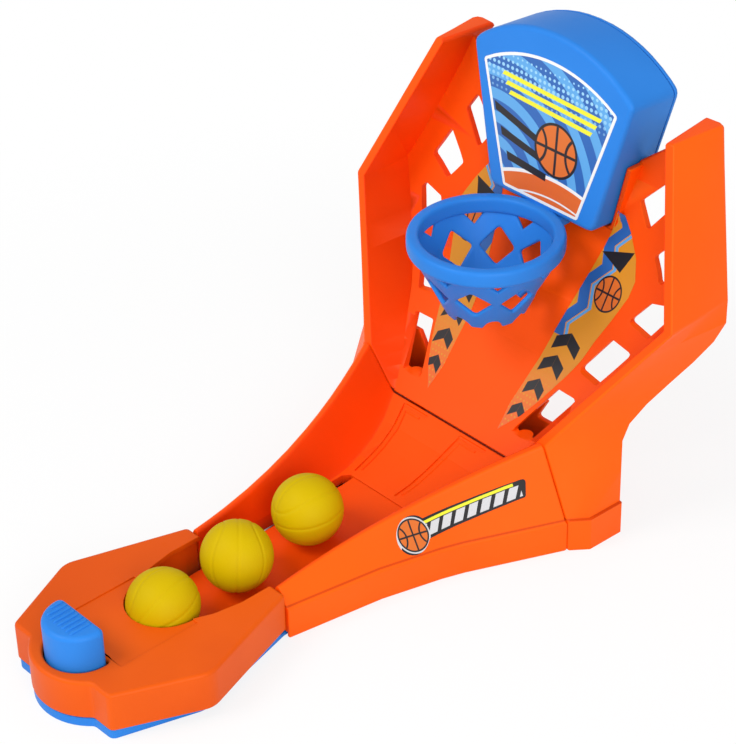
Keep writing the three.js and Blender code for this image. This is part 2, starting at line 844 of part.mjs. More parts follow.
function chuteHollowRing(y) {
  const side = plinthHalfAt(y) - shellWall;
  const inner = wallCurve(y, chute.floorWall).map((p) => [p.x + shellWall * 0.7, y, p.y - shellWall]);
  const highest = Math.min(inner.at(-1)[2], wallTopAt(y) - shellWall * 1.5);
  const reachHalf = Math.max(wallHalfAt(y) - shellWall, inner.at(-1)[0] + seatGap);
  return mirrored([
    [0, y, floorAt(y) - chute.floorWall],
    ...inner.slice(0, -1),
    [inner.at(-1)[0], y, highest],
    [reachHalf, y, highest],
    [side - chute.plinthProud, y, chute.plinthHigh - shellWall],
    [side, y, chute.plinthHigh - shellWall * 1.5],
    [side, y, -overrun],
    [0, y, -overrun],
  ]);
}

// Grooves of the trough's floor, in plan: each runs up to the seam and turns to the right there
const floorGrooves = [
  [[-16.6, 118], [-18.6, 133], [-20.7, 141.8], [-24.2, 151.2], [-12, 151.2]],
  [[6, 118], [6.4, 125], [6.2, 143], [6.7, 151.2], [20, 151.2]],
];

function grooveTool(line) {
  const floor = profilePoints.filter((p) => p.x > lane.endY && p.x < tower.frontY).map((p) => [p.x, p.y]);
  const low = floor.map(([y, z]) => [y, z - chute.grooveDeep]);
  const high = floor.map(([y, z]) => [y, z + chute.floorWall]).reverse();
  const slab = sidePrism([...low, ...high], tower.seamFloorHalf);
  const strips = line.slice(1).map(([x, y], i) => {
    const [fromX, fromY] = line[i];
    const along = new THREE.Vector2(x - fromX, y - fromY).setLength(chute.grooveWide / 2);
    const [ax, ay] = [fromX - along.x, fromY - along.y];
    const [bx, by] = [x + along.x, y + along.y];
    return prism([[ax + along.y, ay - along.x], [bx + along.y, by - along.x], [bx - along.y, by + along.x],
      [ax - along.y, ay + along.x]], 0, tower.seamTop);
  });
  return slab.intersect(union(...strips));
}

const stationShares = [0, 0.07, 0.14, 0.25, 0.36, 0.47, 0.58, 0.66, 0.74, 0.82, 0.9, 1];

function makeChute() {
  const startY = deck.rearY + seatGap;
  const stations = stationShares.map((share) => lerp(startY, chute.rearY, share));
  const outer = loft(stations.map(chuteRing), "y");
  const hollowYs = [startY - overrun, ...stations.slice(1, -1), chute.rearY + overrun];
  const hollow = loft(hollowYs.map((y) => {
    const ring = chuteHollowRing(Math.min(Math.max(y, startY), chute.rearY));
    return ring.map((p) => [p[0], y, p[2]]);
  }), "y");
  const laneCut = prism(mirrored([
    [0, startY - overrun],
    [footHalfAt(startY), startY - overrun],
    [footHalfAt(startY), startY],
    [tongue.rearHalf + tongue.slotWide, lane.endY - tongue.slotWide],
    [tongue.rearHalf + tongue.slotWide, lane.endY - tongue.slotWide / 2],
    [tongue.rearHalf + tongue.slotWide / 2, lane.endY + tongue.endGap],
    [0, lane.endY + tongue.endGap],
  ]), -overrun, laneFloor(lane.endY) + shellWall);
  const earInner = tongue.hubHalf + seatGap;
  const earLow = tongue.hingeZ - tongue.hubRadius;
  const ear = sidePrism([
    [tongue.hingeY - tongue.hubRadius, earLow],
    [tongue.hingeY + tongue.hubRadius, earLow],
    [tongue.hingeY + tongue.hubRadius, floorAt(tongue.hingeY) - chute.floorWall / 2],
    [tongue.hingeY - tongue.hubRadius + tongue.endGap, floorAt(tongue.hingeY) - chute.floorWall / 2],
    [tongue.hingeY - tongue.hubRadius, tongue.hingeZ + tongue.hubRadius],
  ], bracket.thick / 2, earInner + bracket.thick / 2);
  const blockHalf = (deck.waistHalf - chute.footStartHalf) / 2;
  const blockX = chute.footStartHalf + blockHalf;
  const block = box([blockX - blockHalf, startY, plate.thickness + seatGap],
    [blockX + blockHalf, plate.rearY, chute.plinthHigh]);
  const plateRoom = box([-plate.rearHalf - seatGap, startY - overrun, -overrun],
    [plate.rearHalf + seatGap, plate.rearY + seatGap, plate.thickness + seatGap]);
  const screwHoles = bothSides(screwHole(chuteScrewX, chuteScrewY, -overrun, chute.plinthHigh - shellWall));
  const hubRoom = box([-earInner, tongue.hingeY - tongue.hubRadius - seatGap, -overrun],
    [earInner, tongue.hingeY + tongue.hubRadius + seatGap, tongue.hingeZ + tongue.hubRadius + seatGap]);
  const bulkhead = outer.intersect(box([-tower.sideHalf, chute.rearY - shellWall, 0],
    [tower.sideHalf, chute.rearY, tower.seamTop]));
  const tabs = towerScrewPlaces.map(([x, y]) => box([x - chute.tabHalf, chute.rearY - shellWall / 2, chute.tabLow],
    [x + chute.tabHalf, y + chute.tabHalf, chute.tabLow + shellWall]));
  const tabHoles = towerScrewPlaces.map(([x, y]) => screwHole(x, y, -overrun, chute.plinthHigh));
  const shell = cut(outer, hollow, laneCut, hubRoom);
  const withEars = union(shell, bothSides(ear), bothSides(block), bulkhead, cut(union(...tabs), ...tabHoles));
  const pinHole = rod(tongue.hingeY, tongue.hingeZ, pin.radius + pin.gap, deck.cornerHalf);
  return cut(withEars, pinHole, plateRoom, screwHoles, ...floorGrooves.map(grooveTool));
}

// Tower

const smooth = (share) => THREE.MathUtils.smoothstep(share, 0, 1);

function creaseHalfAt(z) {
  if (z < tower.kneeHeight) {
    const share = (z - tower.seamFloor) / (tower.kneeHeight - tower.seamFloor);
    return lerp(tower.seamFloorHalf, tower.kneeHalf - tower.creaseKneeIn, share);
  }
  const share = (z - tower.kneeHeight) / (tower.topHeight - tower.kneeHeight);
  return lerp(tower.kneeHalf - tower.creaseKneeIn, tower.topHalf - tower.creaseTopIn, share);
}

// Front edge of a wing: [half width, y] at a height
function wingFront(z) {
  if (z < tower.seamTop) {
    const share = (z - chute.plinthHigh) / (tower.seamTop - chute.plinthHigh);
    return [lerp(chute.plinthRearHalf - chute.plinthProud, tower.seamTopHalf, share), tower.frontY];
  }
  if (z < tower.kneeHeight) {
    const share = (z - tower.seamTop) / (tower.kneeHeight - tower.seamTop);
    return [lerp(tower.seamTopHalf, tower.kneeHalf, share), lerp(tower.frontY, tower.kneeY, share)];
  }
  const share = (z - tower.kneeHeight) / (tower.topHeight - tower.kneeHeight);
  return [lerp(tower.kneeHalf, tower.topHalf, share), lerp(tower.kneeY, tower.topY, share)];
}

function wingBack(z) {
  if (z < tower.kneeBackHeight) {
    const share = smooth((z - tower.seamTop) / (tower.kneeBackHeight - tower.seamTop));
    return [lerp(tower.sideHalf - chute.plinthProud, tower.kneeHalf, share), lerp(tower.backY, tower.kneeBackY, share)];
  }
  const share = (z - tower.kneeBackHeight) / (tower.topHeight - tower.kneeBackHeight);
  return [lerp(tower.kneeHalf, tower.topBackHalf, share), lerp(tower.kneeBackY, tower.topBackY, share)];
}

// Middle of a wing's outer side: the soft corner that runs up from the base
function wingMiddle(z) {
  const level = Math.max(z, tower.seamTop);
  const [front, back] = [wingFront(level), wingBack(level)];
  const fade = Math.max(0, (tower.kneeHeight - level) / (tower.kneeHeight - tower.seamTop));
  const upperHalf = lerp(front[0], back[0], tower.middleShare) + tower.bulge * fade;
  const upperY = lerp(front[1], back[1], tower.middleShare);
  const lowerHalf = tower.sideHalf - chute.plinthProud - tower.cornerIn;
  const share = THREE.MathUtils.clamp((z - chute.plinthHigh) / (tower.seamTop - chute.plinthHigh), 0, 1);
  return [lerp(lowerHalf, upperHalf, share), lerp(tower.sideY, upperY, share)];
}

// The rear corner of a wing, rounder towards the top
function wingCorner(z) {
  const [half, y] = wingBack(z);
  const share = smooth((z - tower.kneeBackHeight) / (tower.topHeight - tower.kneeBackHeight));
  const r = lerp(tower.backRound, tower.topBackRound, share);
  return [[half, y - r], [half - r * 0.3, y - r * 0.3], [half - r, y]];
}

// Inner edge of a wing's front: up to the seam's top it continues the chute's wall
function wingInner(z) {
  const [half, y] = wingFront(z);
  if (z >= tower.seamTop) {
    return [half - tower.lipWide, y];
  }
  const head = tower.seamTopHalf - tower.lipWide;
  const bend = lerp(tower.seamFloorHalf, head, chute.wallBend);
  const share = Math.sqrt((z - tower.seamFloor) / (tower.seamTop - tower.seamFloor));
  return [lerp(lerp(tower.seamFloorHalf, bend, share), lerp(bend, head, share), share), y];
}

function wingRing(z, corner = wingCorner(z)) {
  const sunk = z < tower.seamTop ? tower.wall / 4 : 0;
  const outer = [wingFront(z), wingMiddle(z)].map(([half, y]) => [half - sunk, y]);
  const rear = corner.map(([half, y]) => [half - sunk, y - sunk]);
  const behind = smooth((z - tower.panelTopInner) / (tower.panelTopOuter - tower.panelTopInner));
  const rearY = rear.at(-1)[1];
  const crease = [creaseHalfAt(z), lerp(Math.min(panelAt(z), rearY - tower.wall), rearY - tower.backRound, behind)];
  return [wingInner(z), ...outer, ...rear, crease];
}

// Open behind: its last points run out past the wing's rear
function wingHollowRing(z) {
  const [inner, front, middle, back, crease] = inset(wingRing(z, [wingBack(z)]), tower.wingWall);
  const past = (from, to) => {
    const away = new THREE.Vector2(to[0] - from[0], to[1] - from[1]).normalize();
    return [to[0] + away.x * overrun, to[1] + away.y * overrun];
  };
  return [inner, front, middle, past(middle, back), past(inner, crease)];
}

const wingHeights = [
  tower.seamFloor + seatGap * 2, ...[0.2, 0.45, 0.7].map((share) => lerp(tower.seamFloor, tower.seamTop, share)),
  tower.seamTop, ...[0.14, 0.28, 0.42, 0.56, 0.7, 0.84].map((share) => lerp(tower.seamTop, tower.kneeHeight, share)),
  tower.kneeHeight, lerp(tower.kneeHeight, tower.panelTopOuter, 0.4), tower.panelTopInner,
  lerp(tower.panelTopInner, tower.panelTopOuter, 0.5), tower.topHeight - tower.topEdgeRound,
];

function makeWing() {
  const rings = wingHeights.map((z) => wingRing(z).map((p) => [p[0], p[1], z]));
  const brow = inset(wingRing(wingHeights.at(-1)), tower.topEdgeRound * 0.3);
  const crown = inset(wingRing(wingHeights.at(-1)), tower.topEdgeRound);
  rings.push(brow.map((p) => [p[0], p[1], tower.topHeight - tower.topEdgeRound * 0.3]));
  rings.push(crown.map((p) => [p[0], p[1], tower.topHeight]));
  const lowest = lerp(tower.seamFloor, tower.seamTop, 0.45);
  const inside = [tower.seamFloor - overrun, ...wingHeights.slice(1, -1), tower.topHeight - tower.wall];
  const hollow = loft(inside.map((z) => wingHollowRing(Math.max(z, lowest)).map((p) => [p[0], p[1], z])), "z");
  return cut(loft(rings, "z"), hollow);
}

// The lower walls of the tower, from the ground up to the seam; the hollow is drawn with a drop
function baseRing(z, drop) {
  const level = THREE.MathUtils.clamp(z, chute.plinthHigh, tower.seamTop);
  const out = (z < chute.plinthHigh ? chute.plinthProud : 0) - drop;
  const frontHalf = wingFront(level)[0] + out;
  const [middleHalf, middleY] = wingMiddle(level);
  const corner = wingCorner(level).map(([half, y]) => [half + out, y - drop, z]);
  const front = drop ? [[0, tower.frontY - overrun, z], [frontHalf, tower.frontY - overrun, z]] : [[0, tower.frontY, z]];
  return mirrored([
    ...front, [frontHalf, tower.frontY, z], [middleHalf + out, middleY + drop * 0.6, z], ...corner,
    [0, corner.at(-1)[1], z],
  ]);
}

function makeTowerBase() {
  const step = seatGap / 2;
  const halfway = lerp(chute.plinthHigh, tower.seamTop, 0.5);
  const heights = [0, chute.plinthHigh - step, chute.plinthHigh + step, halfway, tower.seamTop];
  const outer = loft(heights.map((z) => baseRing(z, 0)), "z");
  const hollowHeights = [-overrun, chute.plinthHigh - tower.wall, chute.plinthHigh, halfway,
    tower.seamTop + overrun];
  const hollow = loft(hollowHeights.map((z) => baseRing(z, tower.wall)), "z");
  return cut(outer, hollow);
}

// The panel: a curved slab between the creases, with its top edge sloping down to the backboard
function makePanel() {
  const steps = 18;
  const heights = [];
  for (let i = 0; i <= steps; i += 1) {
    heights.push(lerp(tower.seamFloor, tower.topHeight, i / steps));
  }
  const front = heights.map((z) => [panelAt(z), z]);
  const normalAt = (i) => {
    const [a, b] = [front[Math.max(i - 1, 0)], front[Math.min(i + 1, steps)]];
    return new THREE.Vector2(b[1] - a[1], a[0] - b[0]).normalize();
  };
  const back = front.map(([y, z], i) => {
    const away = normalAt(i);
    return [y + away.x * tower.panelWall, z + away.y * tower.panelWall];
  });
  const slab = sidePrism([...front, ...back.reverse()], tower.kneeHalf);
  const outline = mirrored([
    [0, tower.seamFloor - overrun],
    [tower.seamFloorHalf + tower.wall / 2, tower.seamFloor - overrun],
    [tower.seamFloorHalf + tower.wall / 2, tower.seamFloor],
    [creaseHalfAt(tower.kneeHeight) + tower.wall / 2, tower.kneeHeight],
    [creaseHalfAt(tower.panelTopOuter) + tower.wall / 2, tower.panelTopOuter],
    [sideHalfOfBoard(tower.panelTopInner), tower.panelTopInner],
    [0, tower.panelTopInner],
  ]);
  return slab.intersect(frontPrism(outline, tower.frontY - overrun, tower.topBackY + overrun));
}

// Openings of the panel on one side: corners as [share of the crease's half width, z]
const panelOpenings = [
  [[0.687, 32.4], [0.953, 32.6], [0.921, 48.6], [0.711, 48.8]],
  [[0.716, 56], [0.926, 54.6], [0.919, 68], [0.738, 69.4]],
  [[0.73, 76.8], [0.909, 74.8], [0.906, 85.4], [0.866, 87.6], [0.756, 85.6]],
  [[0.711, 92.3], [0.866, 98], [0.834, 111], [0.659, 100.2]],
  [[0.608, 108.4], [0.799, 121], [0.769, 128.6], [0.557, 117.2]],
];

function makeTower() {
  const wing = makeWing();
  const openings = panelOpenings.map((corners) => {
    const outline = corners.map(([share, z]) => [share * creaseHalfAt(z), z, shellWall / 2]);
    return frontPrism(rounded(outline, 2), tower.frontY - overrun, tower.topBackY + overrun);
  });
  const notchFrame = boardPrism(board.fitGap + tower.notchRim, -overrun, board.depth + overrun);
  const panelFront = panelAt(tower.panelTopInner) - tower.notchProud - overrun * 0.6;
  const rimZone = box([-tower.kneeHalf, panelFront, board.bottom - overrun],
    [tower.kneeHalf, panelFront + tower.notchProud * 3 + overrun * 0.5, tower.panelTopInner]);
  const notch = boardPrism(board.fitGap, -overrun * 4, board.depth + overrun * 4);
  const ribs = [-1, 1].map((way) => {
    const x = way * tower.seamFloorHalf * 0.42;
    return sidePrism(ribOutline(), tower.ribWide / 2, x);
  });
  const bossLow = chute.tabLow + shellWall + seatGap;
  const bosses = towerScrewPlaces.map(([x, y]) => screwBoss(x, y, bossLow, floorAt(y) - shellWall));
  const holes = towerScrewPlaces.map(([x, y]) => screwHole(x, y, -overrun, floorAt(y) - shellWall * 2));
  const body = union(makePanel(), bothSides(wing), makeTowerBase(), notchFrame.intersect(rimZone), ...ribs, ...bosses);
  return cut(body, notch, ...openings, ...openings.map(mirror), ...holes);
}

// A stiffening rib behind the panel: it follows the back face, and fades out at both ends
function ribOutline() {
  const shares = [0.04, 0.2, 0.35, 0.5, 0.65, 0.8, 0.95];
  const heights = shares.map((share) => lerp(tower.seamFloor, board.bottom - overrun, share));
  const front = heights.map((z) => [panelAt(z) + tower.panelWall / 2, z]);
  const back = heights.map((z, i) => {
    const deep = tower.panelWall + tower.ribDeep * Math.sin((Math.PI * i) / (heights.length - 1));
    return [panelAt(z) + deep, z];
  });
  return [...front, ...back.reverse()];
}

// Backboard

function boardHalfOutline(grow) {
  const archRadius = (board.cornerHalf ** 2 + board.archRise ** 2) / (2 * board.archRise);
  const reachAngle = Math.asin(board.cornerHalf / archRadius);
  const centre = board.cornerHeight + board.archRise - archRadius;
  const arch = [];
  for (let i = 2 * round.arcSteps; i >= 0; i -= 1) {
    const angle = (reachAngle * i) / (2 * round.arcSteps);
    arch.push([archRadius * Math.sin(angle), centre + archRadius * Math.cos(angle)]);
  }
  arch[0].push(board.cornerRound);
  const corners = mirrored([[0, board.bottom], [board.bottomHalf, board.bottom, board.cornerRound], ...arch]);
  const radius = Math.max(board.cornerRound + grow, hoop.bandRound);
  return rounded(inset(corners, -grow).map((p, i) => (corners[i][2] ? [...p, radius] : p)), 3);
}

function sideHalfOfBoard(z) {
  const share = (z - board.bottom) / (board.cornerHeight - board.bottom);
  return lerp(board.bottomHalf, board.cornerHalf, share);
}

// Turns a body drawn with its front face in the plane y = 0 to the backboard's lean and place
function leanBack(geometry) {
  geometry.translate(0, 0, -board.bottom);
  geometry.rotateX(-THREE.MathUtils.degToRad(board.lean));
  geometry.translate(0, board.frontY, board.bottom);
  return solid(geometry);
}

// The board's outline pushed back from one depth to another, its near and far edges rounded if asked
function boardShape(grow, near, far, radius) {
  const outline = boardHalfOutline(grow);
  const body = radius ? domedPrism(outline, -far, -near, radius, true) : prism(outline, -far, -near);
  const geometry = geometryOf(body);
  geometry.rotateX(Math.PI / 2);
  return geometry;
}

function boardPrism(grow, low, high) {
  return leanBack(boardShape(grow, low, high, 0));
}

const boardScrewPlaces = [[-22, 116], [22, 116], [-30, 152], [30, 152]];

// A cylinder square to the backboard's face: x and z are in the board's own upright plane
function boardPost(x, z, near, far, radius) {
  const geometry = new THREE.CylinderGeometry(radius, radius, far - near, round.bossSides);
  geometry.translate(x, (near + far) / 2, z);
  return leanBack(geometry);
}

// A peg that stands along the backboard's own upright, at heights above its lower end
function boardPeg(x, low, high, radius) {
  const geometry = new THREE.CylinderGeometry(radius, radius, high - low, round.pinSides);
  geometry.rotateX(Math.PI / 2);
  geometry.translate(x, hoop.pegDepth, board.bottom + (low + high) / 2);
  return leanBack(geometry);
}

const shellDepth = board.depth - board.coverThick - seatGap;

function makeBoardFront() {
  const skin = leanBack(boardShape(0, 0, board.depth + board.edgeRound * 2, board.edgeRound));
  const keep = boardPrism(overrun, -overrun, shellDepth);
  const hollow = boardPrism(-board.wall, board.wall, board.depth + overrun * 2);
  const bosses = boardScrewPlaces.map(([x, z]) => boardPost(x, z, board.wall / 2, shellDepth, screw.bossRadius));
  const holes = boardScrewPlaces.map(([x, z]) => boardPost(x, z, shellDepth / 2, board.depth + overrun,
    screw.shankRadius + screw.gap));
  const pegHoles = [-hoop.pegX, hoop.pegX].map((x) => boardPeg(x, -overrun, board.wall * 2,
    hoop.pegRadius + seatGap));
  return cut(union(cut(skin.intersect(keep), hollow), ...bosses), ...holes, ...pegHoles);
}

function makeBoardCover() {
  const slab = leanBack(boardShape(0, -overrun, board.depth, board.edgeRound * 0.8));
  const keep = boardPrism(overrun, shellDepth + seatGap, board.depth + overrun);
  const lip = cut(
    boardPrism(-board.wall - seatGap, shellDepth - board.wall, shellDepth + seatGap * 2),
    boardPrism(-board.wall * 2 - seatGap, shellDepth - overrun, shellDepth + seatGap),
  );
  const lipRoom = boardScrewPlaces.map(([x, z]) => boardPost(x, z, 0, shellDepth + seatGap,
    screw.bossRadius + seatGap));
  const holes = boardScrewPlaces.map(([x, z]) => boardPost(x, z, 0, board.depth + overrun,
    screw.shankRadius + screw.gap));
  const sinkNear = board.depth - screw.headHigh - seatGap;
  const sinks = boardScrewPlaces.map(([x, z]) => boardPost(x, z, sinkNear, board.depth + overrun,
    screw.headRadius + screw.gap));
  return cut(union(slab.intersect(keep), cut(lip, ...lipRoom)), ...holes, ...sinks);
}

// Screws

function screwBody(length) {
  const profilePath = [
    [0, 0], [screw.headRadius, 0], [screw.headRadius, screw.headHigh], [screw.shankRadius, screw.headHigh],
    [screw.shankRadius, length - screw.shankRadius], [0, length],
  ].map(([r, z]) => new THREE.Vector2(r, z));
  const geometry = new THREE.LatheGeometry(profilePath, round.screwSides);
  geometry.rotateX(Math.PI / 2);
  const slot = screw.slotWide / 2;
  const cross = union(
    box([-slot, -screw.headRadius * 0.6, -overrun], [slot, screw.headRadius * 0.6, screw.slotDeep]),
    box([-screw.headRadius * 0.6, -slot, -overrun], [screw.headRadius * 0.6, slot, screw.slotDeep]),
  );
  return cut(solid(geometry), cross);
}

function raisedScrew(x, y, headZ, length) {
  const geometry = geometryOf(screwBody(length));
  geometry.translate(x, y, headZ);
  return geometry;
}

function coverScrew(x, z) {
  const geometry = geometryOf(screwBody(board.depth / 2));
  geometry.rotateX(Math.PI / 2);
  geometry.translate(x, board.depth, z);
  return leanBack(geometry);
}

// Hoop

function ringBody(outline, sides) {
  const geometry = new THREE.LatheGeometry(outline.map((p) => new THREE.Vector2(...p)), sides);
  geometry.rotateX(Math.PI / 2);
  geometry.translate(0, hoop.y, 0);
  return solid(geometry);
}

// A tool that cuts one opening of the net: corners are [share of its half width, height above z]
function netCut(place, z, wideShare, corners) {
  const rise = (z - hoop.netBottom) / (hoop.top - hoop.bandHigh - hoop.netBottom);
  const pitch = (Math.PI * 2 * lerp(hoop.netBottomRadius, hoop.netTopRadius, rise)) / hoop.holes;
  const reach = (pitch * wideShare) / 2;
  const shape = new THREE.Shape(corners.map(([share, high]) => new THREE.Vector2(share * reach, high)));
  const geometry = new THREE.ExtrudeGeometry(shape, { depth: hoop.outerRadius, bevelEnabled: false });
  geometry.rotateX(Math.PI / 2);
  geometry.translate(0, hoop.outerRadius + hoop.netWall * 2, z);
  geometry.rotateZ(Math.PI * 2 * (place / hoop.holes) - THREE.MathUtils.degToRad(hoop.holeTurn));
  geometry.translate(0, hoop.y, 0);
  return solid(geometry);
}

function makeHoop() {
  const low = hoop.top - hoop.bandHigh;
  const r = hoop.bandRound;
  const bandOutline = rounded([
    [hoop.innerRadius, low, r / 2], [hoop.outerRadius - r / 2, low, r],
    [hoop.outerRadius, hoop.top, r], [hoop.innerRadius, hoop.top, r],
  ], 2);
  const band = ringBody([...bandOutline, bandOutline[0]], 3 * round.wheel / 2);
  const netTop = low + r;
  const half = hoop.netWall / 2;
  const net = ringBody([
    [hoop.netTopRadius - half, netTop], [hoop.netTopRadius + half, netTop],
    [hoop.netBottomRadius + half, hoop.netBottom], [hoop.netBottomRadius - half, hoop.netBottom],
    [hoop.netTopRadius - half, netTop],
  ], 4 * hoop.holes);
  const cuts = [];
  for (let i = 0; i < hoop.holes; i += 1) {
    cuts.push(netCut(i, hoop.holeZ, hoop.holeShare, [[-1, 0], [0, -hoop.holeHigh / 2], [1, 0], [0, hoop.holeHigh / 2]]));
    cuts.push(netCut(i + 0.5, low, hoop.slitShare, [[-1, 0], [0, hoop.slitTip - low], [1, 0]]));
    cuts.push(netCut(i + 0.5, hoop.netBottom, hoop.scallopShare,
      [[-1, -shellWall], [1, -shellWall], [0.6, hoop.scallopDeep * 0.7], [0, hoop.scallopDeep],
        [-0.6, hoop.scallopDeep * 0.7]]));
  }
  const bore = ringBody([
    [0, low - overrun], [hoop.innerRadius, low - overrun], [hoop.innerRadius, hoop.top + overrun],
    [0, hoop.top + overrun],
  ], 3 * round.wheel / 2);
  const tabEnd = board.frontY + hoop.tabDeep;
  const tab = box([-hoop.tabHalf, hoop.y + hoop.innerRadius + r, board.bottom - hoop.tabThick],
    [hoop.tabHalf, tabEnd, board.bottom]);
  const boardRoom = boardPrism(seatGap, -seatGap, board.depth);
  const pegs = [-hoop.pegX, hoop.pegX].map((x) => boardPeg(x, -hoop.tabThick / 2, board.wall * 1.5, hoop.pegRadius));
  return union(cut(union(band, cut(net, ...cuts), cut(tab, bore)), boardRoom), ...pegs);
}

// The assembly

place("launcher_housing", makeHousing(), colour.deck);
place("base_plate", makePlate(), colour.blue);
place("launch_button", makeButton(), colour.blue);
place("launch_lever", makeLever(), colour.blue);
place("lever_pin", makePin(lever.pivotY, lever.pivotZ, lever.hubHalf + bracket.thick + seatGap),
  colour.steel, 0.3, 1);
place("return_spring", makeSpring(), colour.steel, 0.3, 1);
place("launch_tongue", makeTongue(), colour.orange);
place("tongue_pin", makePin(tongue.hingeY, tongue.hingeZ, tongue.hubHalf + bracket.thick + seatGap),
  colour.steel, 0.3, 1);
place("chute", makeChute(), colour.orange);
place("tower", makeTower(), colour.orange);
place("backboard_front", makeBoardFront(), colour.blue);
place("backboard_cover", makeBoardCover(), colour.blue);
place("hoop", makeHoop(), colour.blue);
ballYs.forEach((y, i) => place(`ball_${i + 1}`, ball(y, 0), colour.yellow, 0.5));
baseScrewPlaces.forEach(([x, y], i) => {
  place(`base_screw_${i + 1}`, raisedScrew(x, y, 0, deckHeight / 2), colour.steel, 0.3, 1);
});
[-chuteScrewX, chuteScrewX].forEach((x, i) => {
  place(`chute_screw_${i + 1}`, raisedScrew(x, chuteScrewY, 0, deckHeight / 2), colour.steel, 0.3, 1);
});
towerScrewPlaces.forEach(([x, y], i) => {
  const headZ = chute.tabLow - screw.headHigh - seatGap;
  place(`tower_screw_${i + 1}`, raisedScrew(x, y, headZ, chute.plinthHigh - shellWall), colour.steel, 0.3, 1);
});
boardScrewPlaces.forEach(([x, z], i) => {
  place(`cover_screw_${i + 1}`, coverScrew(x, z), colour.steel, 0.3, 1);
});

// The origin goes to the middle of the footprint, on the ground
const bounds = new THREE.Box3().setFromObject(game);
game.position.y = -(bounds.min.y + bounds.max.y) / 2;
game.updateMatrixWorld(true);

export default game;
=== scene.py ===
import math

import bmesh
import bpy
from mathutils import Euler, Matrix, Vector
from mathutils.bvhtree import BVHTree
from mathutils.geometry import delaunay_2d_cdt


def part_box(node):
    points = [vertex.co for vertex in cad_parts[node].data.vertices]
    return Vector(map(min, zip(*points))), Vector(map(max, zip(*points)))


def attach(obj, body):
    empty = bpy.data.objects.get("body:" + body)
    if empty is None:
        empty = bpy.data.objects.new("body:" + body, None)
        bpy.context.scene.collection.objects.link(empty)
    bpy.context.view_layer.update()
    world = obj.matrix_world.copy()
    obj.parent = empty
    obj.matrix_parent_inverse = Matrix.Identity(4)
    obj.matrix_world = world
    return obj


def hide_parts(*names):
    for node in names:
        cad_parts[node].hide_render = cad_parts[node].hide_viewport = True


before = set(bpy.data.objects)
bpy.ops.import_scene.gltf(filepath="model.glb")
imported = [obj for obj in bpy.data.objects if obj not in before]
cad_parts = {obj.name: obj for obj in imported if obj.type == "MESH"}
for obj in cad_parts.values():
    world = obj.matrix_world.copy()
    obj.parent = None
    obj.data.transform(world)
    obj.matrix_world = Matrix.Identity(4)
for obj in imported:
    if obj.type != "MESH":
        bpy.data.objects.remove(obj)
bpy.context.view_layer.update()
scene = bpy.context.scene
MM = 0.001

# Table top and light
# A white sheet of card under a soft light tent, as in the photograph. The camera stands about
# 0.9 m away at the player's right, well above the toy, with a long lens.

TENT_LIGHT = 0.64
CARD_WHITE = 0.9
CARD_GLOW = 0.82
CARD_NEAR = 0.17
CARD_FAR = 0.36
# Painted shade: the footprint under the chute where the card has no glow and shows dark.
UNDER_FRONT = -52
UNDER_REAR = 72
UNDER_HALF = 24
UNDER_FLARE = 0.003
UNDER_SOFT = 3.0
LAMP_AIM = 0.06


class Wire:
    """A node's output that can be used in sums."""

    def __init__(self, tree, socket):
        self.tree = tree
        self.socket = socket

    def sum(self, operation, *others, back=False):
        node = self.tree.nodes.new("ShaderNodeMath")
        node.operation = operation
        values = [*others, self] if back else [self, *others]
        for place, value in enumerate(values):
            fill(self.tree, node.inputs[place], value)
        return Wire(self.tree, node.outputs[0])

    def __add__(self, other):
        return self.sum("ADD", other)

    def __radd__(self, other):
        return self.sum("ADD", other, back=True)

    def __sub__(self, other):
        return self.sum("SUBTRACT", other)

    def __rsub__(self, other):
        return self.sum("SUBTRACT", other, back=True)

    def __mul__(self, other):
        return self.sum("MULTIPLY", other)

    def __truediv__(self, other):
        return self.sum("DIVIDE", other)

    def __rtruediv__(self, other):
        return self.sum("DIVIDE", other, back=True)

    def __pow__(self, other):
        return self.sum("POWER", other)

    def __abs__(self):
        return self.sum("ABSOLUTE")


def fill(tree, socket, value):
    """Links a wire, or several, to a socket, or sets the socket's own value."""
    if isinstance(value, Wire):
        tree.links.new(value.socket, socket)
    elif isinstance(value, list):
        for wire in value:
            tree.links.new(wire.socket, socket)
    elif isinstance(value, tuple) and socket.type == "RGBA":
        socket.default_value = (*value, 1)
    else:
        socket.default_value = value


class Nodes:
    """A tree whose nodes are made one at a time: a type, its settings and its sockets."""

    def node(self, kind, settings=None, sockets=None, out=0):
        made = self.tree.nodes.new(kind)
        for key, value in (settings or {}).items():
            setattr(made, key, value)
        for key, value in (sockets or {}).items():
            fill(self.tree, made.inputs[key], value)
        return Wire(self.tree, made.outputs[out]) if made.outputs else None


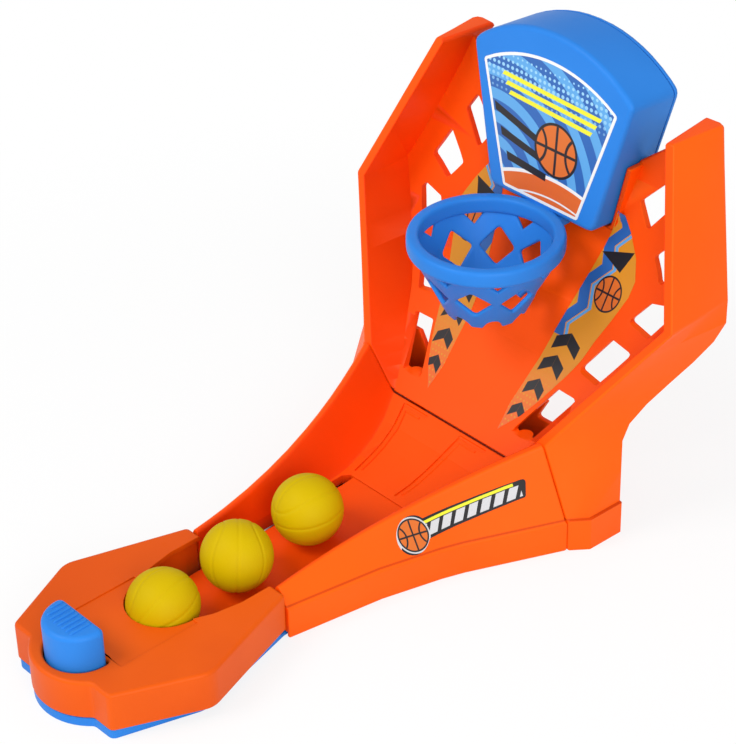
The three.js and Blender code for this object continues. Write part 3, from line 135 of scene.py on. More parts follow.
class Finish(Nodes):
    """A material."""

    def __init__(self, name, holder=None):
        self.material = holder or bpy.data.materials.new(name)
        self.material.use_nodes = True
        self.tree = self.material.node_tree
        self.tree.nodes.clear()

    def place(self):
        return self.node("ShaderNodeTexCoord", out="Object")

    def millimetres(self, axis):
        parts = self.node("ShaderNodeSeparateXYZ", sockets={0: self.place()}, out=axis)
        return parts * 1000.0

    def seen(self):
        """1 for what the camera, a mirror or glass sees, and 0 for the light on the toy."""
        rays = [self.node("ShaderNodeLightPath", out=f"Is {kind} Ray")
                for kind in ("Camera", "Glossy", "Transmission")]
        return rays[0].sum("MAXIMUM", rays[1]).sum("MAXIMUM", rays[2])

    def noise(self, scale, detail=2):
        sockets = {"Vector": self.place(), "Scale": scale, "Detail": detail}
        return self.node("ShaderNodeTexNoise", sockets=sockets, out="Fac")

    def mix(self, share, low, high):
        return self.node("ShaderNodeMix", {"data_type": "RGBA"}, {0: share, 6: low, 7: high}, out=2)

    def smooth(self, value, low, high):
        sockets = {"Value": value, "From Min": low, "From Max": high}
        return self.node("ShaderNodeMapRange", {"interpolation_type": "SMOOTHSTEP"}, sockets)

    def bump(self, height, strength, depth):
        return self.node("ShaderNodeBump", sockets={
            "Height": height, "Strength": strength, "Distance": depth})

    def shader(self, **sockets):
        names = {key.replace("_", " "): value for key, value in sockets.items()}
        return self.node("ShaderNodeBsdfPrincipled", sockets=names)

    def close(self, shader):
        self.node("ShaderNodeOutputMaterial", sockets={"Surface": shader})
        return self.material


def white_card():
    """Matt white card, seen white but for the toy's soft shadow, and painted shade under its chute, where
    its glow is left out.
    """
    finish = Finish("white_card")
    fibres = finish.noise(900, 3)
    card = finish.shader(
        Base_Color=(CARD_WHITE,) * 3,
        Roughness=0.7,
        Normal=finish.bump(fibres, 0.2, 0.00005),
    )
    across, along = (finish.millimetres(axis) for axis in "XY")
    # Painted shade: under the chute the card's glow is left out, so the floor shows dark there.
    half_wide = (along - UNDER_FRONT).sum("MAXIMUM", 0.0) ** 2.0 * UNDER_FLARE + UNDER_HALF
    under = finish.smooth(half_wide - abs(across), 0.0, UNDER_SOFT)
    under = under * finish.smooth(along, UNDER_FRONT - UNDER_SOFT, UNDER_FRONT)
    under = under * finish.smooth(along, UNDER_REAR, UNDER_REAR - UNDER_SOFT)
    glow = finish.node("ShaderNodeEmission", sockets={"Strength": 1.0})
    away = finish.node("ShaderNodeVectorMath", {"operation": "LENGTH"}, {0: finish.place()}, out="Value")
    far = finish.smooth(away, CARD_NEAR, CARD_FAR)
    share = finish.seen() * (1.0 - under) * (CARD_GLOW + far * (1 - CARD_GLOW))
    return finish.close(finish.node("ShaderNodeMixShader", sockets={0: share, 1: card, 2: glow}))


def table_top():
    bpy.ops.mesh.primitive_plane_add(size=6)
    card = bpy.context.object
    card.name = "table_top"
    card.data.materials.append(white_card())


def light_tent():
    """An even white tent, which itself looks white."""
    tent = bpy.data.worlds.new("light_tent")
    finish = Finish("light_tent", tent)
    strength = TENT_LIGHT + finish.node("ShaderNodeLightPath", out="Is Camera Ray") * (1 - TENT_LIGHT)
    glow = finish.node("ShaderNodeBackground", sockets={"Color": (1, 1, 1), "Strength": strength})
    finish.node("ShaderNodeOutputWorld", sockets={"Surface": glow})
    scene.world = tent


def linked(name, data):
    """A new object in the scene."""
    made = bpy.data.objects.new(name, data)
    scene.collection.objects.link(made)
    return made


def soft_lamp(name, place, size, power):
    light = bpy.data.lights.new(name, "AREA")
    light.shape = "DISK"
    light.size = size
    light.energy = power
    lamp = linked(name, light)
    lamp.location = place
    lamp.rotation_euler = (Vector((0, 0, LAMP_AIM)) - Vector(place)).to_track_quat("-Z", "Y").to_euler()


def photo_camera():
    azimuth = math.radians(48.2995)
    elevation = math.radians(33.9154)
    roll = math.radians(-1.4116)
    distance = 0.91343
    aim = Vector((0.79, 16.13, 71.62)) * MM
    level = math.cos(elevation)
    back = Vector((math.sin(azimuth) * level, -math.cos(azimuth) * level, math.sin(elevation)))
    lens = bpy.data.cameras.new("photo_camera")
    lens.sensor_fit = "VERTICAL"
    lens.sensor_height = 36
    lens.lens = 120.78
    camera = linked("photo_camera", lens)
    turn = (-back).to_track_quat("-Z", "Y").to_matrix().to_4x4()
    camera.matrix_world = Matrix.Translation(aim + back * distance) @ turn @ Matrix.Rotation(roll, 4, "Z")
    scene.camera = camera


scene.view_settings.view_transform = "Standard"
photo_camera()
table_top()
light_tent()
soft_lamp("key_light", (-0.35, -0.85, 1.1), 0.7, 8)
soft_lamp("right_light", (1.0, -0.55, 0.6), 0.8, 7.5)

# Launcher housing
# One injection moulding in orange plastic, a shade duller than the rest: a flat deck with a
# skirt, 2 mm thick, and openings for the lane and the button. The mould rounds its edges.

HOUSING_EDGE = 1.5
DECK_ORANGE = (0.76, 0.1, 0.002)
DECK_DEEP = (0.69, 0.083, 0.002)
SHINE = 0.14
CREASE = 30
WELD = 0.000004
FLAT_BEND = 0.3
EDGE_STEPS = 4
ROOM_SHARE = 0.45
LEAST_SHARE = 0.1
RUN_BEND = math.radians(40)
STRAIGHT = 0.001
DEBRIS = 0.000002
# Painted light: the blend from a wall's shaded inner side to its lit outer side.
LIT_SIDE_BLEND = 15
# Painted shade: a darker line in the corner of the ledge, on the outer sides.
LEDGE_HALF = 0.15
LEDGE_SOFT = 0.55
LEDGE_FROM = 24
LEDGE_PAINTED_SHADE = 0.6
LEDGE_SHADE_DARKNESS = 0.5


def moulded_plastic(name, colour, deep, roughness, outer=None, ledge=None):
    """Dense coloured plastic: faint flow clouds, a fine mould texture and a few light rubs.

    Walls may have painted light, a lit orange on their outer sides and a shaded one on their inner sides,
    and painted shade in the corner of a ledge."""
    finish = Finish(name)
    clouds = finish.smooth(finish.noise(18, 3), 0.3, 0.7)
    grain = finish.noise(2600)
    waves = finish.noise(70)
    rubs = finish.smooth(finish.noise(140, 5), 0.6, 0.8)
    base = finish.mix(clouds, deep, colour)
    # Painted light: faces turned outwards get a lit, yellower orange, faces turned inwards a shaded, redder
    # one.
    if outer:
        facing = finish.node("ShaderNodeTexCoord", out="Normal")
        sideways = finish.node("ShaderNodeSeparateXYZ", sockets={0: facing}, out="X")
        lit_share = finish.smooth(sideways * finish.millimetres("X"), -LIT_SIDE_BLEND, LIT_SIDE_BLEND)
        base = finish.mix(lit_share, base, finish.mix(clouds, *outer))
    # Painted shade: the base colour darkened along the corner of the ledge, on the outer sides.
    if ledge:
        line = finish.smooth(abs(finish.millimetres("Z") - ledge), LEDGE_SOFT, LEDGE_HALF)
        outside = finish.smooth(abs(finish.millimetres("X")), LEDGE_FROM, LEDGE_FROM + 2)
        base = finish.mix(line * outside * LEDGE_PAINTED_SHADE, base, tuple(part * LEDGE_SHADE_DARKNESS for part in deep))
    return finish.close(finish.shader(
        Base_Color=base,
        Roughness=roughness + rubs * 0.12 + grain * 0.05,
        Normal=finish.bump(grain * 0.35 + waves * 2.0, 0.22, 0.00012),
        Specular_IOR_Level=SHINE,
    ))


def editable(mesh):
    shape = bmesh.new()
    shape.from_mesh(mesh)
    return shape


def written(shape, mesh):
    shape.to_mesh(mesh)
    shape.free()
    return mesh


def apply_modifiers(piece):
    depsgraph = bpy.context.evaluated_depsgraph_get()
    mesh = bpy.data.meshes.new_from_object(piece.evaluated_get(depsgraph))
    piece.modifiers.clear()
    old = piece.data
    piece.data = mesh
    bpy.data.meshes.remove(old)


def even_shading(piece, angle):
    """Smooth shading that leaves the flats flat, with edges sharper than an angle kept crisp."""
    piece.data.shade_smooth()
    piece.data.set_sharp_from_angle(angle=math.radians(angle))
    evened = piece.modifiers.new("even_faces", "WEIGHTED_NORMAL")
    evened.keep_sharp = True
    evened.weight = 80
    apply_modifiers(piece)


def room_at(corner, chosen):
    """The widest rounding that an edge's faces and the edges it meets leave it."""
    room = min(face.calc_area() for face in corner.link_faces) / corner.calc_length()
    for vert in corner.verts:
        along = (vert.co - corner.other_vert(vert).co).normalized()
        for other in vert.link_edges:
            if other is corner:
                continue
            beside = other.other_vert(vert).co - vert.co
            turn = along.angle(beside, 0)
            if RUN_BEND < turn < math.pi - RUN_BEND:
                room = min(room, beside.length * math.sin(turn))
            elif turn <= RUN_BEND and other in chosen:
                short = min(beside.length, corner.calc_length())
                room = min(room, short / max(math.tan(turn / 2), STRAIGHT))
    return ROOM_SHARE * room


def runs(chosen):
    """The chosen edges, gathered in runs that bend little from one edge to the next."""
    left = set(chosen)
    while left:
        run = [left.pop()]
        for corner in run:
            for vert in corner.verts:
                along = vert.co - corner.other_vert(vert).co
                for other in vert.link_edges:
                    if other in left and along.angle(other.other_vert(vert).co - vert.co, 0) < RUN_BEND:
                        left.remove(other)
                        run.append(other)
        yield run


def round_edges(piece, edge, angle, inner=False):
    """Edges sharper than an angle get the mould's radius, or less where there is little room."""
    shape = editable(piece.data)
    weight = shape.edges.layers.float.new("bevel_weight_edge")
    chosen = {corner for corner in shape.edges
              if len(corner.link_faces) == 2 and (inner or corner.is_convex)
              and corner.calc_face_angle() > math.radians(angle)}
    for run in runs(chosen):
        share = min(room_at(corner, chosen) for corner in run) / (edge * MM)
        for corner in run:
            corner[weight] = min(1, share) if share > LEAST_SHARE else 0
    written(shape, piece.data)
    bevel = piece.modifiers.new("mould_radius", "BEVEL")
    bevel.width = edge * MM
    bevel.segments = EDGE_STEPS
    bevel.limit_method = "WEIGHT"
    bevel.miter_outer = "MITER_ARC"
    bevel.use_clamp_overlap = False
    apply_modifiers(piece)
    shape = editable(piece.data)
    bmesh.ops.dissolve_degenerate(shape, dist=DEBRIS, edges=shape.edges)
    written(shape, piece.data)


def moulding(node, edge, material, body="frame", inner=False, relief=None):
    """A copy of a CAD solid, its triangles joined up, its edges rounded and its relief laid on."""
    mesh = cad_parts[node].data.copy()
    mesh.materials.clear()
    mesh.materials.append(material)
    shape = editable(mesh)
    bmesh.ops.remove_doubles(shape, verts=shape.verts, dist=WELD)
    flat = math.radians(FLAT_BEND)
    bmesh.ops.dissolve_limit(shape, angle_limit=flat, verts=shape.verts, edges=shape.edges)
    piece = linked(f"{node}_moulding", written(shape, mesh))
    round_edges(piece, edge, CREASE, inner)
    if relief:
        relief(piece.data)
    even_shading(piece, CREASE)
    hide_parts(node)
    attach(piece, body)


deck_plastic = moulded_plastic("deck_plastic", DECK_ORANGE, DECK_DEEP, 0.42)
moulding("launcher_housing", HOUSING_EDGE, deck_plastic)

# Base plate and lever
# The blue plate that closes the launcher underneath is moulded with the lever's two ears. The
# lever is a small rocker on a steel pin.

PLATE_EDGE = 0.4
LEVER_EDGE = 0.3
BLUE = (0.026, 0.218, 0.7)
BLUE_DEEP = (0.02, 0.196, 0.65)

blue_plastic = moulded_plastic("blue_plastic", BLUE, BLUE_DEEP, 0.4)
moulding("base_plate", PLATE_EDGE, blue_plastic)
moulding("launch_lever", LEVER_EDGE, blue_plastic, body="lever")

# Launch button
# A hollow cap, a half circle in plan with a flat back, whose top edge is well rounded. Eight soft
# grip ridges run back across its top, and a flange under the deck keeps it in its hole.

BUTTON_RADIUS = 12.7
BUTTON_CENTRE = -120.068
BUTTON_BACK = -117.668
BUTTON_CORNER = 2.4
BUTTON_TOP = 34.0
BUTTON_BOTTOM = 13.3
BUTTON_ROUND = 2.0
BUTTON_WALL = 1.6
FLANGE_PROUD = 1.3
FLANGE_THICK = 1.4
GRIP_RIDGES = 8
GRIP_PITCH = 2.3
GRIP_SHIFT = -1.6
GRIP_WIDE = 1.25
GRIP_HIGH = 0.6
GRIP_LONG = 9.5
GRIP_BACK = 0.6
GRIP_BLUNT = 0.3
GRIP_SQUARE = 6.0
BUTTON_CREASE = 40
CORNER_SHARE = 0.48


def softened(points, radius, closed=True, steps=5):
    """A line with its corners turned into arcs."""
    line = []
    count = len(points)
    for i, point in enumerate(points):
        here = Vector(point)
        if not closed and i in (0, count - 1):
            line.append(here)
            continue
        before = Vector(points[i - 1]) - here
        after = Vector(points[(i + 1) % count]) - here
        opening = before.angle(after)
        longest = min(before.length, after.length) * CORNER_SHARE
        reach = min(radius / math.tan(opening / 2), longest)
        start = here + before.normalized() * reach
        end = here + after.normalized() * reach
        for step in range(steps + 1):
            share = step / steps
            line.append(start.lerp(here, share).lerp(here.lerp(end, share), share))
    return line


def shifted(points, distance):
    """A closed anticlockwise outline moved outwards by a distance."""
    moved = []
    for i, here in enumerate(points):
        before = (here - points[i - 1]).normalized()
        after = (points[(i + 1) % len(points)] - here).normalized()
        out = Vector((before.y + after.y, -before.x - after.x)).normalized()
        moved.append(here + out * distance / max(out.dot(Vector((before.y, -before.x))), 0.5))
    return moved


def skin(shape, rings):
    """Faces through rings of equally many vertices, with both end rings filled."""
    faces = [shape.faces.new(rings[0]), shape.faces.new(list(reversed(rings[-1])))]
    for low, high in zip(rings, rings[1:]):
        for i in range(len(low)):
            j = (i + 1) % len(low)
            faces.append(shape.faces.new((low[i], low[j], high[j], high[i])))
    bmesh.ops.recalc_face_normals(shape, faces=faces)


def button_outline():
    half_turn = [math.pi + math.pi * step / 32 for step in range(33)]
    arc = [(BUTTON_RADIUS * math.cos(a), BUTTON_CENTRE + BUTTON_RADIUS * math.sin(a)) for a in half_turn]
    turns = [math.radians(15 * step) for step in range(7)]
    side = BUTTON_RADIUS - BUTTON_CORNER
    rear = BUTTON_BACK - BUTTON_CORNER
    right = [(side + BUTTON_CORNER * math.cos(a), rear + BUTTON_CORNER * math.sin(a)) for a in turns]
    left = [(-x, y) for x, y in reversed(right)]
    return [Vector(point) for point in arc[1:-1] + right + left]


def button_cap():
    """A closed shell from the cap's inside round its flange and up to its rounded top."""
    outline = button_outline()

    def ring(grow, z):
        return [(p.x, min(p.y, BUTTON_BACK), z) for p in shifted(outline, grow)]

    flange_top = BUTTON_BOTTOM + FLANGE_THICK
    under = BUTTON_TOP - BUTTON_WALL
    rings = [ring(-BUTTON_WALL, under), ring(-BUTTON_WALL, BUTTON_BOTTOM),
             ring(FLANGE_PROUD, BUTTON_BOTTOM), ring(FLANGE_PROUD, flange_top), ring(0, flange_top)]
    for step in range(7):
        turn = math.radians(15 * step)
        inward = BUTTON_ROUND * (1 - math.cos(turn))
        rings.append(ring(-inward, BUTTON_TOP - BUTTON_ROUND * (1 - math.sin(turn))))
    shape = bmesh.new()
    skin(shape, [[shape.verts.new(Vector(point) * MM) for point in line] for line in rings])
    mesh = written(shape, bpy.data.meshes.new("launch_button_cap"))
    mesh.materials.append(blue_plastic)
    return mesh


class Pattern(Nodes):
    """A Geometry Nodes tree with a named input for each size."""

    def __init__(self, name, **sizes):
        self.tree = bpy.data.node_groups.new(name, "GeometryNodeTree")
        self.sizes = sizes
        self.places = {}
        sockets = self.tree.interface
        sockets.new_socket("Start", in_out="INPUT", socket_type="NodeSocketGeometry")
        for label, value in sizes.items():
            kind = "NodeSocketInt" if isinstance(value, int) else "NodeSocketFloat"
            self.places[label] = sockets.new_socket(label, in_out="INPUT", socket_type=kind).identifier
        sockets.new_socket("Piece", in_out="OUTPUT", socket_type="NodeSocketGeometry")
        self.given = self.tree.nodes.new("NodeGroupInput")
        self.start = Wire(self.tree, self.given.outputs[0])

    def size(self, label):
        return Wire(self.tree, self.given.outputs[label])

    def vector(self, x=0.0, y=0.0, z=0.0):
        return self.node("ShaderNodeCombineXYZ", sockets={"X": x, "Y": y, "Z": z})

    def position(self):
        parts = self.tree.nodes.new("ShaderNodeSeparateXYZ")
        fill(self.tree, parts.inputs[0], self.node("GeometryNodeInputPosition"))
        return [Wire(self.tree, socket) for socket in parts.outputs]

    def named(self, label):
        return self.node("GeometryNodeInputNamedAttribute", {"data_type": "FLOAT"}, {"Name": label})

    def moved(self, geometry, place):
        return self.node("GeometryNodeSetPosition", sockets={"Geometry": geometry, "Position": place})

    def placed(self, geometry, place):
        return self.node("GeometryNodeTransform", sockets={"Geometry": geometry, "Translation": place})

    def copies(self, points, piece, **more):
        sockets = {"Points": points, "Instance": piece, **more}
        return self.node("GeometryNodeInstanceOnPoints", sockets=sockets)

    def joined(self, *parts):
        return self.node("GeometryNodeJoinGeometry", sockets={"Geometry": list(parts)})

    def close(self, geometry, material):
        whole = self.node("GeometryNodeRealizeInstances", sockets={"Geometry": geometry})
        dressed = self.node("GeometryNodeSetMaterial", sockets={"Geometry": whole, "Material": material})
        self.node("NodeGroupOutput", sockets={0: dressed})


def grown(name, mesh, pattern):
    """A plain mesh: the pattern's tree run once on a start mesh."""
    piece = linked(name, mesh)
    maker = piece.modifiers.new("pattern", "NODES")
    maker.node_group = pattern.tree
    for label, value in pattern.sizes.items():
        maker[pattern.places[label]] = value
    apply_modifiers(piece)
    return piece


def grip_ridges():
    """Rounded ridges from the cap's round front to its flat back."""
    grip = Pattern("grip_ridges", ridges=GRIP_RIDGES, pitch=GRIP_PITCH * MM, shift=GRIP_SHIFT * MM,
                   wide=GRIP_WIDE * MM, high=GRIP_HIGH * MM, top=BUTTON_TOP * MM,
                   reach=(BUTTON_RADIUS - BUTTON_ROUND) * MM, centre=BUTTON_CENTRE * MM,
                   back=(BUTTON_BACK - BUTTON_ROUND * GRIP_BACK) * MM, long=GRIP_LONG * MM)
    size = grip.size
    ball = grip.node("GeometryNodeMeshUVSphere", sockets={"Segments": 16, "Rings": 24, "Radius": 1.0})
    x, y, z = grip.position()
    blunt = y.sum("SIGN") * abs(y) ** GRIP_BLUNT
    of_ball = (1.0 - y * y).sum("MAXIMUM", 0.0001) ** 0.5
    width = (1.0 - abs(blunt) ** GRIP_SQUARE).sum("MAXIMUM", 0.0) ** 0.5 / of_ball
    ridge = grip.moved(ball, grip.vector(x * width, blunt, z * width))
    first = size("shift") - (size("ridges") - 1.0) / 2.0 * size("pitch")
    row = grip.node("GeometryNodeMeshLine", sockets={
        "Count": size("ridges"), "Start Location": grip.vector(first), "Offset": grip.vector(size("pitch"))})
    x, _, _ = grip.position()
    sweep = (size("reach") ** 2.0 - x * x) ** 0.5
    front = (size("centre") - sweep).sum("MAXIMUM", size("back") - size("long"))
    spread = grip.moved(row, grip.vector(x, (front + size("back")) / 2.0, size("top")))
    _, y, _ = grip.position()
    scale = grip.vector(size("wide") / 2.0, size("back") - y, size("high"))
    grip.close(grip.joined(grip.start, grip.copies(spread, ridge, Scale=scale)), blue_plastic)
    return grip


button = grown("launch_button_cap", button_cap(), grip_ridges())
even_shading(button, BUTTON_CREASE)
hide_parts("launch_button")
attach(button, "button")

# Chute and tongue
# The trough, its plinth and its side walls are one moulding in bright orange. The launch tongue
# under the balls is a springy strip of the same plastic. ORIGIN_Y is where the drawing's y starts.

CHUTE_EDGE = 0.9
TONGUE_EDGE = 0.25
BRIGHT_ORANGE = (0.92, 0.084, 0.0008)
BRIGHT_DEEP = (0.87, 0.075, 0.0006)
# Painted light: a shaded, redder orange for the walls' inner sides and a lit, yellower one for their outer
# sides.
SHADED_INNER_ORANGE = (0.93, 0.058, 0.0005)
SHADED_INNER_DEEP = (0.88, 0.052, 0.0004)
LIT_OUTER_ORANGE = (0.97, 0.114, 0.001)
LIT_OUTER_DEEP = (0.93, 0.104, 0.0008)
LEDGE = 14
BEAD_LINES = [
    [(-14.7, 119.5), (-16.7, 133), (-18.7, 142), (-21.6, 149.2), (-14, 149.2)],
    [(7.9, 119.5), (8.3, 125), (8.1, 143), (8.5, 149.2), (17, 149.2)]]
BEAD_SECTION = [
    (-0.5, -0.15), (0.5, -0.15), (0.42, 0.16), (0.24, 0.38), (0, 0.46), (-0.24, 0.38), (-0.42, 0.16)]
BEAD_STEP = 1.2
BEAD_FROM = 60
ORIGIN_Y = -93.868


def ray_tree(mesh):
    return BVHTree.FromPolygons([v.co for v in mesh.vertices], [f.vertices for f in mesh.polygons])


def trough_beads(mesh):
    """Fine raised lines beside the floor's grooves, each laid on the trough from above."""
    floor = ray_tree(mesh)
    shape = editable(mesh)
    for line in BEAD_LINES:
        spots = []
        for a, b in zip(line, line[1:]):
            a, b = Vector(a), Vector(b)
            count = math.ceil((b - a).length / BEAD_STEP)
            spots += [a.lerp(b, step / count) for step in range(count)]
        spots.append(Vector(line[-1]))
        rings = []
        for i, spot in enumerate(spots):
            along = (spots[min(i + 1, len(spots) - 1)] - spots[max(i - 1, 0)]).normalized()
            above = Vector((spot.x, spot.y + ORIGIN_Y, BEAD_FROM)) * MM
            place, normal, _, _ = floor.ray_cast(above, Vector((0, 0, -1)))
            side = Vector((along.y, -along.x, 0))
            up = (normal - side * normal.dot(side)).normalized()
            rings.append([shape.verts.new(place + (side * x + up * z) * MM) for x, z in BEAD_SECTION])
        skin(shape, rings)
    written(shape, mesh)


bright_plastic = moulded_plastic("bright_plastic", BRIGHT_ORANGE, BRIGHT_DEEP, 0.42)
# wall_plastic carries painted light, lit outer sides and shaded inner sides, and painted shade along the
# ledge.
wall_plastic = moulded_plastic(
    "wall_plastic", SHADED_INNER_ORANGE, SHADED_INNER_DEEP, 0.42, outer=(LIT_OUTER_DEEP, LIT_OUTER_ORANGE), ledge=LEDGE)
moulding("chute", CHUTE_EDGE, wall_plastic, relief=trough_beads)
moulding("launch_tongue", TONGUE_EDGE, bright_plastic, body="tongue")

# Tower
# The net panel and its two flared wings are one moulding, open behind, with five openings a side
# and ribs across the back.

TOWER_EDGE = 0.9

# The tower's walls take the same painted light and shade from wall_plastic.
moulding("tower", TOWER_EDGE, wall_plastic, inner=True)

# Backboard
# Two blue shells, screwed together from behind, that stand in the panel's notch and lean back.

BOARD_EDGE = 0.7
COVER_EDGE = 0.4
BOARD_LEAN = 4.8

moulding("backboard_front", BOARD_EDGE, blue_plastic)
moulding("backboard_cover", COVER_EDGE, blue_plastic)

# Hoop
# One blue moulding: a stout rounded rim, and a stiff cone of a net with eight openings to the
# turn, half openings under the rim and a scalloped hem. A tab behind goes under the backboard.

HOOP_Y = 77.432
RIM_MIDDLE = 27.5
RIM_HALF_WIDE = 2.5
RIM_TOP = 105.4
RIM_LOW = 98.4
RIM_SQUARE = 0.55
RIM_TURN_STEPS = 128
RIM_SECTION_STEPS = 32
HOOP_EDGE = 0.5
HOOP_CREASE = 60
NET_CELLS = 8
NET_TURN = 12
NET_TOP = 101.6
NET_HEM = 72.5
NET_TOP_RADIUS = 28.55
NET_HEM_RADIUS = 14.5
NET_WALL = 1.8
NET_PITCH = 1.9
NET_CLEAR = 0.5
NET_WELD = 0.00001
OPENING_Z = 87
OPENING_HALF_HIGH = 6.7
OPENING_HALF_TURN = 19.1
OPENING_CORNER = 1.3
SLIT_TIP = 94.4
SLIT_HALF_TURN = 9.45
SLIT_IN_RIM = 0.6
SLIT_CORNER = 0.4
SCALLOP_DEEP = 4
SCALLOP_HALF_TURN = 13.95
SCALLOP_POWER = 2.2
SCALLOP_CORNER = 0.8
TAB_HALF = 11
TAB_THICK = 3.9
TAB_NEAR = 103.7
TAB_FAR = 111.5
TAB_TOP = 103.75
SEAM_SLACK = 1.0001


def net_radius(z):
    return NET_HEM_RADIUS + (NET_TOP_RADIUS - NET_HEM_RADIUS) * (z - NET_HEM) / (NET_TOP - NET_HEM)


def on_cone(turn, z):
    """A place on the net's flat pattern: millimetres along the turn, and height."""
    return Vector((math.radians(turn) * net_radius(z), z))


def net_borders():
    """The edges of one eighth of the net: its hem, its upper edge and its opening."""
    half = 180 / NET_CELLS
    opening = softened([
        on_cone(-OPENING_HALF_TURN, OPENING_Z), on_cone(0, OPENING_Z - OPENING_HALF_HIGH),
        on_cone(OPENING_HALF_TURN, OPENING_Z), on_cone(0, OPENING_Z + OPENING_HALF_HIGH)], OPENING_CORNER)
    shares = [step / 8 for step in range(9)]
    arch = [(SCALLOP_HALF_TURN * share, SCALLOP_DEEP * (1 - share ** SCALLOP_POWER)) for share in shares]
    left = [on_cone(turn - half, NET_HEM + high) for turn, high in arch]
    right = [on_cone(half - turn, NET_HEM + high) for turn, high in reversed(arch)]
    hem = softened([*left, *right], SCALLOP_CORNER, closed=False, steps=2)
    inner = half - SLIT_HALF_TURN
    top = RIM_LOW + SLIT_IN_RIM
    upper = softened([
        on_cone(-half, SLIT_TIP), on_cone(-inner, top), on_cone(-inner, NET_TOP), on_cone(inner, NET_TOP),
        on_cone(inner, top), on_cone(half, SLIT_TIP)], SLIT_CORNER, closed=False)
    return hem, upper, opening


def followed(line, distance, closed):
    """A border's line moved to its left by a distance; the ends of an open one stay on the seam."""
    moved = []
    for i, here in enumerate(line):
        if not closed and i in (0, len(line) - 1):
            up = 1 if line[1].x > line[0].x else -1
            z = here.y + distance * up
            moved.append(Vector((here.x / net_radius(here.y) * net_radius(z), z)))
            continue
        before = (here - line[i - 1]).normalized()
        after = (line[(i + 1) % len(line)] - here).normalized()
        side = Vector((-before.y - after.y, before.x + after.x)).normalized()
        moved.append(here + side * distance / max(side.dot(Vector((-before.y, before.x))), 0.6))
    return moved


def is_inside(point, outline):
    crossings = 0
    for a, b in zip(outline, outline[1:] + outline[:1]):
        if (a.y > point.y) != (b.y > point.y):
            crossings += point.x < a.x + (b.x - a.x) * (point.y - a.y) / (b.y - a.y)
    return crossings % 2 == 1


def distance_to(point, line, closed):
    ends = zip(line, line[1:] + line[:1]) if closed else zip(line, line[1:])
    nearest = math.inf
    for a, b in ends:
        along = b - a
        share = max(0, min(1, (point - a).dot(along) / max(along.length_squared, 1e-9)))
        nearest = min(nearest, (a + along * share - point).length)
    return nearest


def net_cell():
    """One eighth of the net, flat: x is the turn, z the height, and "inset" the way in from an edge.

    Points on its seams belong to it, slivers along them don't."""
    hem, upper, opening = net_borders()
    around = hem + list(reversed(upper))
    borders = [(hem, 1, False), (upper, -1, False), (opening, -1, True)]
    depth = NET_WALL / 2
    points = []
    insets = []
    joins = []
    for line, side, closed in borders:
        for turn in (0, 30, 60, 90):
            inset = depth * (1 - math.cos(math.radians(turn)))
            first = len(points)
            points += followed(line, side * inset, closed)
            insets += [inset] * len(line)
            joins += [(first + i, first + i + 1) for i in range(len(line) - 1)]
            if closed:
                joins.append((len(points) - 1, first))
    with_seams = [corner * SEAM_SLACK for corner in around]
    off_seams = [Vector((corner.x / SEAM_SLACK, corner.y)) for corner in around]
    for row in range(1, math.ceil((NET_TOP - NET_HEM) / NET_PITCH)):
        z = NET_HEM + row * NET_PITCH
        wide = math.pi / NET_CELLS * net_radius(z)
        columns = math.ceil(2 * wide / NET_PITCH)
        for column in range(columns + 1):
            place = Vector((wide * (2 * column / columns - 1), z))
            near = min(distance_to(place, line, closed) for line, _, closed in borders)
            clear = near > depth + NET_CLEAR and not is_inside(place, opening)
            if clear and is_inside(place, with_seams):
                points.append(place)
                insets.append(depth)
    made, _, faces, origins, _, _ = delaunay_2d_cdt(points, joins, [], 0, NET_WELD)
    shape = bmesh.new()
    inset_of = shape.verts.layers.float.new("inset")
    verts = []
    for place, origin in zip(made, origins):
        vert = shape.verts.new((place.x / net_radius(place.y), 0, place.y * MM))
        vert[inset_of] = (insets[origin[0]] if origin else depth) / depth
        verts.append(vert)
    for face in faces:
        middle = sum((made[i] for i in face), Vector((0, 0))) / len(face)
        if is_inside(middle, off_seams) and not is_inside(middle, opening):
            shape.faces.new([verts[i] for i in face])
    bmesh.ops.delete(shape, geom=[v for v in shape.verts if not v.link_faces], context="VERTS")
    return written(shape, bpy.data.meshes.new("net_cell"))


